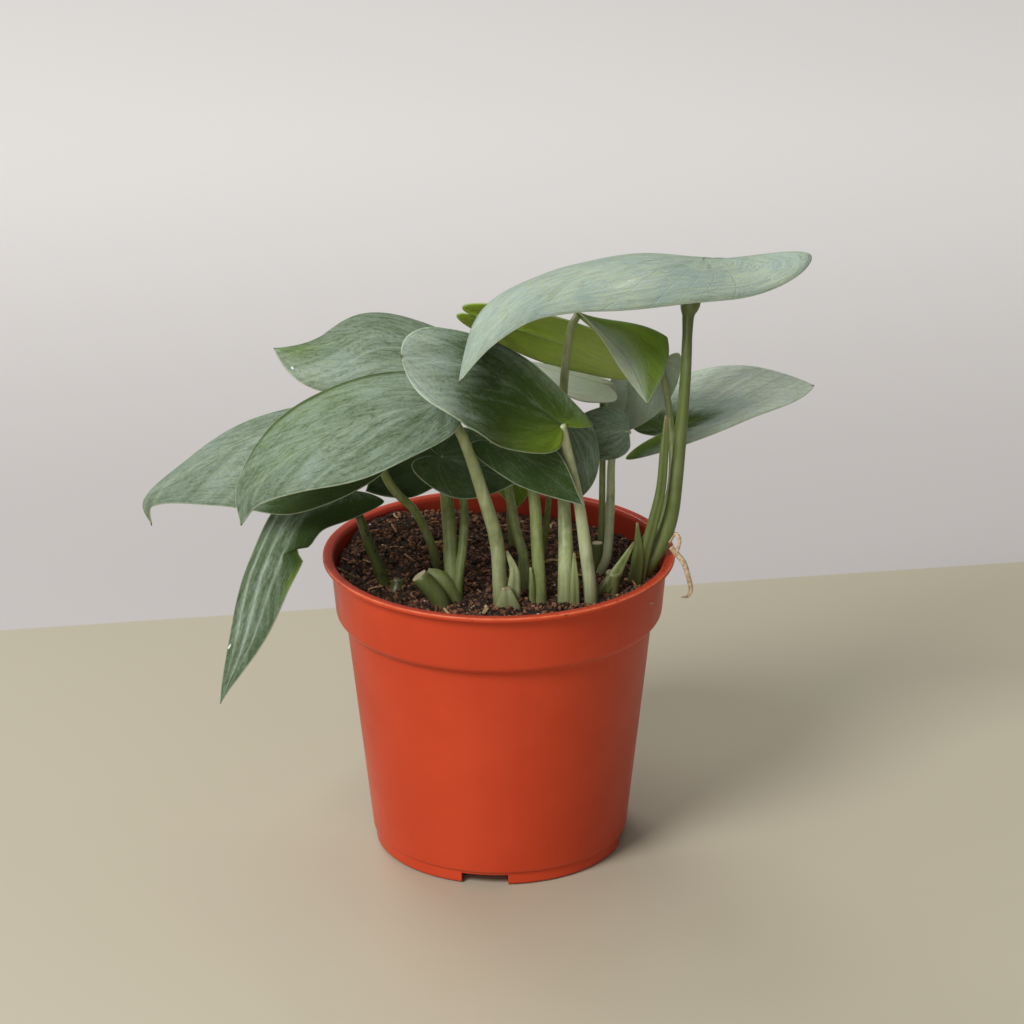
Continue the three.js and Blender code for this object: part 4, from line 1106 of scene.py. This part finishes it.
def keepFlat(profile, reach=0.4):
    # a point close to both ends of each long side keeps the shading of the corners off it
    made = [profile[0]]
    for start, end in zip(profile, profile[1:]):
        side = np.subtract(end, start)
        share = reach / np.hypot(*side)
        if share < 0.25:
            made += [tuple(np.add(start, side * t)) for t in (share, 1 - share)]
        made.append(end)
    return made


def potProfile(form):
    # radius, height and corner radius, from the middle of the underside round to the middle of the floor
    top, step, floorTop = form["height"], form["collarStep"], form["floor"] + form["wall"]
    lipUnder, footInner = top - form["lipThickness"], form["foot"] - form["footWidth"]
    inner = form["wallLow"] - form["wall"]
    corners = [
        (0, 0, 0), (form["pad"], 0, 0.4), (form["pad"] + 1, form["floor"], 0.6),
        (footInner - 1, form["floor"], 0.6), (footInner, 0, 0.5), (form["foot"] - 0.6, 0, 0.4),
        (form["foot"], 0.6, 0.4), (form["foot"], form["footHeight"] - 0.4, 0.3),
        (form["wallLow"], form["footHeight"], 0.5), (form["wallTop"], step - 1.5, 1.2),
        (form["collarLow"] - 1, step - 0.6, 0.9), (form["collarLow"], step + 0.8, 0.9),
        (form["collarTop"], lipUnder, 0.3), (form["lipRadius"], lipUnder, 0.35),
        (form["lipRadius"], top, 0.5), (form["lipInner"], top, 0.5),
        (form["collarTop"] - form["wall"], top - 1.2, 0.5),
        (form["collarLow"] - form["wall"], step + 1.5, 1.0), (form["wallTop"] - form["wall"], step - 1, 1.0),
        (inner, form["footHeight"] + 1, 0.8), (inner - 1.2, floorTop, 0.6), (form["pad"], floorTop, 0.5),
        (form["pad"] - 1, form["wall"], 0.4), (0, form["wall"], 0),
    ]
    profile = keepFlat(roundCorners([c[:2] for c in corners], [c[2] for c in corners]))
    apart = [i == 0 or np.hypot(*np.subtract(p, profile[i - 1])) > 0.02 for i, p in enumerate(profile)]
    return [p for p, keep in zip(profile, apart) if keep]


def potCutters(form):
    cutters = []
    for i in range(form["notches"]):
        turnBy = math.radians(form["notchTurn"] + 360 / form["notches"] * i)
        bpy.ops.mesh.primitive_cube_add(size=1)
        cutter = bpy.context.object
        cutter.scale = Vector((form["notchReach"], form["notchWidth"], 2 * form["notchHeight"])) * mm
        cutter.location = Vector((math.cos(turnBy), math.sin(turnBy), 0)) * form["foot"] * mm
        cutter.rotation_euler = (0, 0, turnBy)
        cutters.append(cutter)
    for i in range(form["drains"]):
        turnBy = 2 * math.pi * i / form["drains"]
        radius, depth = form["drainRadius"] * mm, form["drainDepth"] * mm
        bpy.ops.mesh.primitive_cylinder_add(radius=radius, depth=depth, vertices=32)
        cutter = bpy.context.object
        spot = Vector((math.cos(turnBy), math.sin(turnBy), 0)) * form["drainCircle"]
        cutter.location = (spot + Vector((0, 0, form["floor"]))) * mm
        cutters.append(cutter)
    return cutters


def makePot(form, material):
    profile, segments = potProfile(form), form["segments"]
    turn = np.linspace(0, 2 * math.pi, segments, endpoint=False)
    ring = profile[1:-1]
    size, low = len(ring), len(ring) * segments
    points = [(r * math.cos(a), r * math.sin(a), z) for a in turn for r, z in ring]
    points += [(0, 0, profile[0][1]), (0, 0, profile[-1][1])]
    faces = []
    for k in range(segments):
        a, b = k * size, ((k + 1) % segments) * size
        faces += [[a + i, b + i, b + i + 1, a + i + 1] for i in range(size - 1)]
        faces += [[low, b, a], [low + 1, a + size - 1, b + size - 1]]
    pot = meshObject("potShell", points, faces)
    turnOutward(pot)
    cutters = potCutters(form)
    for cutter in cutters:
        modifier = pot.modifiers.new("cut", "BOOLEAN")
        modifier.operation = "DIFFERENCE"
        modifier.solver = "EXACT"
        modifier.object = cutter
    made = bpy.data.meshes.new_from_object(pot.evaluated_get(bpy.context.evaluated_depsgraph_get()))
    pot.modifiers.clear()
    pot.data = made
    for cutter in cutters:
        bpy.data.objects.remove(cutter)
    pot.data.shade_smooth()
    pot.data.set_sharp_from_angle(angle=math.radians(form["sharpAngle"]))
    return settle(pot, ["pot"], material)


potLook = {
    "colour": (0.565, 0.058, 0.018),
    "deep": (0.51, 0.048, 0.014),
    # painted shade inside the pot, also the dirt on the lip's flat top
    "insideShadeAndDirt": (0.34, 0.034, 0.016),
    # lighter edge colour: partly wear, partly a painted highlight
    "wornAndHighlight": (0.74, 0.19, 0.085),
    "dirt": (0.05, 0.028, 0.016),
    "scuffs": (220, 220, 1400),      # grain round and up the wall
    "rough": (0.31, 0.44),
    "specular": 0.22,
    "bump": (0.08, 0.0002),
}


def makePotPaint(look, form):
    paint, tree, shader = newPaint("potPlastic")
    place = placeOf(tree)
    x, y, z = split(tree, place)
    radius = calc(tree, "SQRT", calc(tree, "MULTIPLY_ADD", x, x, times(tree, y, y)))
    clouds, bits = grainOf(tree, place, 22, 3, 0.6), grainOf(tree, place, 420, 3, 0.6)
    scuffs = grainOf(tree, placeOf(tree, look["scuffs"]), 1, 3, 0.7)
    top, step, lipEdge = (form[key] * mm for key in ("height", "collarStep", "lipRadius"))

    # the inner wall behind the outer face of the collar is darkened as painted shade, and most of the lip's
    # flat top as dirt
    slope = (form["collarTop"] - form["collarLow"]) / (form["height"] - form["collarStep"])
    outer = calc(tree, "MULTIPLY_ADD", z, slope, (form["collarLow"] - slope * form["collarStep"]) * mm)
    behind = calc(tree, "SUBTRACT", outer, radius)
    # painted shade on the inner wall
    wall = times(tree, ease(tree, z, step + 0.001, step + 0.003), ease(tree, behind, 0.0003, 0.0008))
    lipTop = ease(tree, z, top - 0.0012, top - 0.0008)
    lipTop = times(tree, ease(tree, behind, -0.0015, -0.0007, 0.0, 0.7), lipTop)

    # the lip's outer edge is lighter, part wear and part painted highlight; the foot ring shows a faint pale
    # line
    edge = ease(tree, radius, lipEdge - 0.0007, lipEdge - 0.0003)
    edge = times(tree, ease(tree, z, top - 0.0007, top - 0.0002), edge)
    footLine = times(tree, ease(tree, z, 0.0042, 0.0049), ease(tree, z, 0.0049, 0.0056, 0.35, 0.0))
    wearAndHighlight = calc(tree, "MAXIMUM", edge, footLine)
    specks = times(tree, ease(tree, bits, 0.6, 0.7), ease(tree, z, top - 0.0018, top - 0.0004, 0.0, 0.7))
    colour = blendColour(tree, ease(tree, clouds, 0.3, 0.7), look["colour"], look["deep"])
    colour = layered(tree, colour, look, (
        (calc(tree, "MAXIMUM", wall, lipTop), "insideShadeAndDirt"),
        (times(tree, wearAndHighlight, ease(tree, scuffs, 0.3, 0.62, 0.25, 0.8)), "wornAndHighlight"),
        (specks, "dirt"),
    ))
    feed(tree, shader.inputs["Base Color"], colour)
    gloss = ease(tree, clouds, 0.25, 0.75, *look["rough"])
    feed(tree, shader.inputs["Roughness"], calc(tree, "MULTIPLY_ADD", specks, 0.4, gloss))
    shader.inputs["Specular IOR Level"].default_value = look["specular"]
    addBump(tree, shader, grainOf(tree, place, 1500, 2, 0.6), *look["bump"])
    return paint


potPlastic = makePotPaint(potLook, potForm)
makePot(potForm, potPlastic)
print("pot made")

# Growing mix: a filled body, with crumbs, chips, fibres and specks strewn over its top.
mixForm = {
    "level": 96.8,
    "side": ((86.2, 53.9), (83.8, 50.5), (6.5, 42.2), (4.5, 40.7)),   # height and radius, from the top down
    "heap": (-36, 30, 6.8, 21.0),      # x, y, height and reach of the heap at the left back
    "rings": 60,
    "spokes": 180,
    "edgeTop": 54.9,
    "strewnTo": 54.0,
}


def mixHeight(x, y):
    cx, cy, rise, reach = mixForm["heap"]
    heap = rise * np.exp(-((x - cx) ** 2 + (y - cy) ** 2) / (2 * reach**2))
    lumps = 0.7 * np.sin(x * 0.42 + 1.3) * np.cos(y * 0.37) + 0.4 * np.sin(x * 0.9 - y * 0.7)
    fine = 0.35 * np.sin(x * 2.1 + 0.8 * np.sin(y * 1.7)) * np.sin(y * 2.4 + 0.9 * np.sin(x * 1.3))
    return mixForm["level"] + heap + lumps + fine


def mixRings(form, reach):
    turn = np.linspace(0, 2 * math.pi, form["spokes"], endpoint=False)
    rings = []
    for radius in np.linspace(0, reach, form["rings"] + 1)[1:]:
        x, y = radius * np.cos(turn), radius * np.sin(turn)
        rings.append(np.stack([x, y, mixHeight(x, y)], axis=-1))
    return turn, rings


def ringFaces(count, spokes, top):
    faces = []
    for k in range(spokes):
        after = (k + 1) % spokes
        faces.append([top, k, after])
        for i in range(count - 1):
            a, b = i * spokes, (i + 1) * spokes
            faces.append([a + k, b + k, b + after, a + after])
    return faces


def makeMix(form, material):
    spokes = form["spokes"]
    turn, rings = mixRings(form, form["edgeTop"])
    for z, radius in form["side"]:
        rings.append(np.stack([radius * np.cos(turn), radius * np.sin(turn), np.full(spokes, z)], axis=-1))
    points = np.concatenate([*rings, [[0, 0, float(mixHeight(0, 0))], [0, 0, form["side"][-1][0]]]])
    top, last = len(points) - 2, (len(rings) - 1) * spokes
    faces = ringFaces(len(rings), spokes, top)
    faces += [[top + 1, last + (k + 1) % spokes, last + k] for k in range(spokes)]
    piece = meshObject("mixBody", points, faces)
    turnOutward(piece)
    return settle(piece, ["soil"], material)


# A row holds the shape, then one value for each of the inputs: pieces per square metre, sizes in metres.
strewInputs = (("Density", "Float"), ("Smallest", "Float"), ("Largest", "Float"), ("Stretch", "Vector"),
               ("Tilt", "Float"), ("Seed", "Int"))
strewn = {
    "mixCrumbs": ("crumb", 600000.0, 0.0005, 0.0022, (1, 0.85, 0.8), 3.14, 3),
    "mixChips": ("crumb", 55000.0, 0.0009, 0.0021, (1.4, 0.8, 0.6), 0.7, 11),
    "mixFibres": ("fibre", 40000.0, 0.002, 0.006, (1, 1, 1), 0.5, 7),
    "mixSpecks": ("crumb", 6500.0, 0.0005, 0.0011, (1, 1, 0.8), 3.14, 23),
    "mixStraw": ("fibre", 2600.0, 0.005, 0.011, (1, 0.8, 0.7), 0.3, 5),
}


def strewTree(name, shape):
    # scatters one shape over the incoming faces, each copy turned and sized by chance
    tree = bpy.data.node_groups.new(name, "GeometryNodeTree")
    tree.interface.new_socket("Geometry", in_out="OUTPUT", socket_type="NodeSocketGeometry")
    for label, kind in (("Geometry", "Geometry"), *strewInputs, ("Material", "Material")):
        tree.interface.new_socket(label, in_out="INPUT", socket_type="NodeSocket" + kind)
    given = tree.nodes.new("NodeGroupInput").outputs

    def add(kind, inputs, **settings):
        node = tree.nodes.new(kind)
        for setting, value in settings.items():
            setattr(node, setting, value)
        for label, value in inputs.items():
            feed(tree, node.inputs[label], value)
        return node

    def chance(low, high, shift, kind="FLOAT"):
        # a random value has sockets of its own for each kind
        first, result = (0, 0) if kind == "FLOAT_VECTOR" else (2, 1)
        seed = plus(tree, given["Seed"], shift)
        node = add("FunctionNodeRandomValue", {first: low, first + 1: high, "Seed": seed}, data_type=kind)
        return node.outputs[result]

    spots = add("GeometryNodeDistributePointsOnFaces", {
        "Mesh": given["Geometry"], "Density": given["Density"], "Seed": given["Seed"],
    })
    if shape == "crumb":
        form = add("GeometryNodeMeshIcoSphere", {"Radius": 0.5, "Subdivisions": 1})
    else:
        line = add("GeometryNodeCurveQuadraticBezier", {
            "Resolution": 4, "Start": (-0.5, 0, 0), "Middle": (0, 0.35, 0.25), "End": (0.5, 0, 0),
        })
        ring = add("GeometryNodeCurvePrimitiveCircle", {"Resolution": 4, "Radius": 0.07})
        form = add("GeometryNodeCurveToMesh", {
            "Curve": line.outputs[0], "Profile Curve": ring.outputs[0], "Fill Caps": True,
        })
    lowTilt, highTilt = times(tree, given["Tilt"], -1.0), given["Tilt"]
    tilts = [chance(lowTilt, highTilt, shift) for shift in (1, 2)]
    turn = joined(tree, *tilts, chance(0.0, 2 * math.pi, 3))
    uneven = chance((0.6, 0.6, 0.6), (1.3, 1.3, 1.3), 4, "FLOAT_VECTOR")
    stretch = add("ShaderNodeVectorMath", {0: given["Stretch"], 1: uneven}, operation="MULTIPLY")
    size = chance(given["Smallest"], given["Largest"], 5)
    scale = add("ShaderNodeVectorMath", {0: stretch.outputs[0], "Scale": size}, operation="SCALE")
    copies = add("GeometryNodeInstanceOnPoints", {
        "Points": spots.outputs["Points"], "Instance": form.outputs["Mesh"],
        "Rotation": turn, "Scale": scale.outputs[0],
    })
    tone = add("GeometryNodeStoreNamedAttribute", {
        "Geometry": copies.outputs[0], "Name": "tone", "Value": chance(0.0, 1.0, 6),
    }, data_type="FLOAT", domain="INSTANCE")
    real = add("GeometryNodeRealizeInstances", {"Geometry": tone.outputs[0]})
    painted = add("GeometryNodeSetMaterial", {"Geometry": real.outputs[0], "Material": given["Material"]})
    add("NodeGroupOutput", {"Geometry": painted.outputs[0]})
    return tree


def strew(name, base, tree, sizes, material):
    points, faces = base
    piece = meshObject(name, points, faces)
    modifier = piece.modifiers.new("strew", "NODES")
    modifier.node_group = tree
    for socket in tree.interface.items_tree:
        if socket.in_out == "INPUT" and socket.name in sizes:
            modifier[socket.identifier] = sizes[socket.name]
        elif socket.in_out == "INPUT" and socket.name == "Material":
            modifier[socket.identifier] = material
    made = bpy.data.meshes.new_from_object(piece.evaluated_get(bpy.context.evaluated_depsgraph_get()))
    piece.modifiers.clear()
    piece.data = made
    piece.data.shade_flat()
    return settle(piece, [], material)


mixLook = {
    "body": ((0.014, 0.008, 0.005), (0.055, 0.028, 0.015)),
    "mixCrumbs": ((0.018, 0.010, 0.007), (0.30, 0.135, 0.073)),
    "mixChips": ((0.20, 0.085, 0.040), (0.48, 0.24, 0.12)),
    "mixFibres": ((0.10, 0.042, 0.022), (0.40, 0.19, 0.09)),
    "mixSpecks": ((0.45, 0.42, 0.36), (0.85, 0.83, 0.78)),
    "mixStraw": ((0.38, 0.24, 0.11), (0.66, 0.50, 0.28)),
    "fewBright": 2.4,
    "rough": 0.9,
    "specular": 0.3,
    "bump": (0.7, 0.0008),
}


def makeMixPaint(name, tones, graded):
    paint, tree, shader = newPaint(name + "Paint")
    place = placeOf(tree)
    coarse, fine = grainOf(tree, place, 420, 4, 0.7), grainOf(tree, place, 1700, 3, 0.7)
    blend = ease(tree, coarse, 0.35, 0.7)
    if graded:   # each strewn piece has a tone of its own, few of them bright
        tone = calc(tree, "POWER", valueOf(tree, "tone"), mixLook["fewBright"])
        blend = plus(tree, tone, calc(tree, "MULTIPLY_ADD", fine, 0.6, -0.3), clamp=True)
    feed(tree, shader.inputs["Base Color"], blendColour(tree, blend, *tones))
    shader.inputs["Roughness"].default_value = mixLook["rough"]
    shader.inputs["Specular IOR Level"].default_value = mixLook["specular"]
    addBump(tree, shader, plus(tree, coarse, fine), *mixLook["bump"])
    return paint


def makeStrewn():
    _, rings = mixRings(mixForm, mixForm["strewnTo"])
    points = np.concatenate([*rings, [[0, 0, float(mixHeight(0, 0))]]])
    base = (points, ringFaces(len(rings), mixForm["spokes"], len(points) - 1))
    trees = {shape: strewTree(shape + "Strewer", shape) for shape in ("crumb", "fibre")}
    for name, (shape, *row) in strewn.items():
        sizes = {label: value for (label, _), value in zip(strewInputs, row)}
        piece = strew(name, base, trees[shape], sizes, makeMixPaint(name, mixLook[name], True))
        print(name, len(piece.data.polygons))


makeMix(mixForm, makeMixPaint("mixBody", mixLook["body"], False))
makeStrewn()
print("growing mix made")
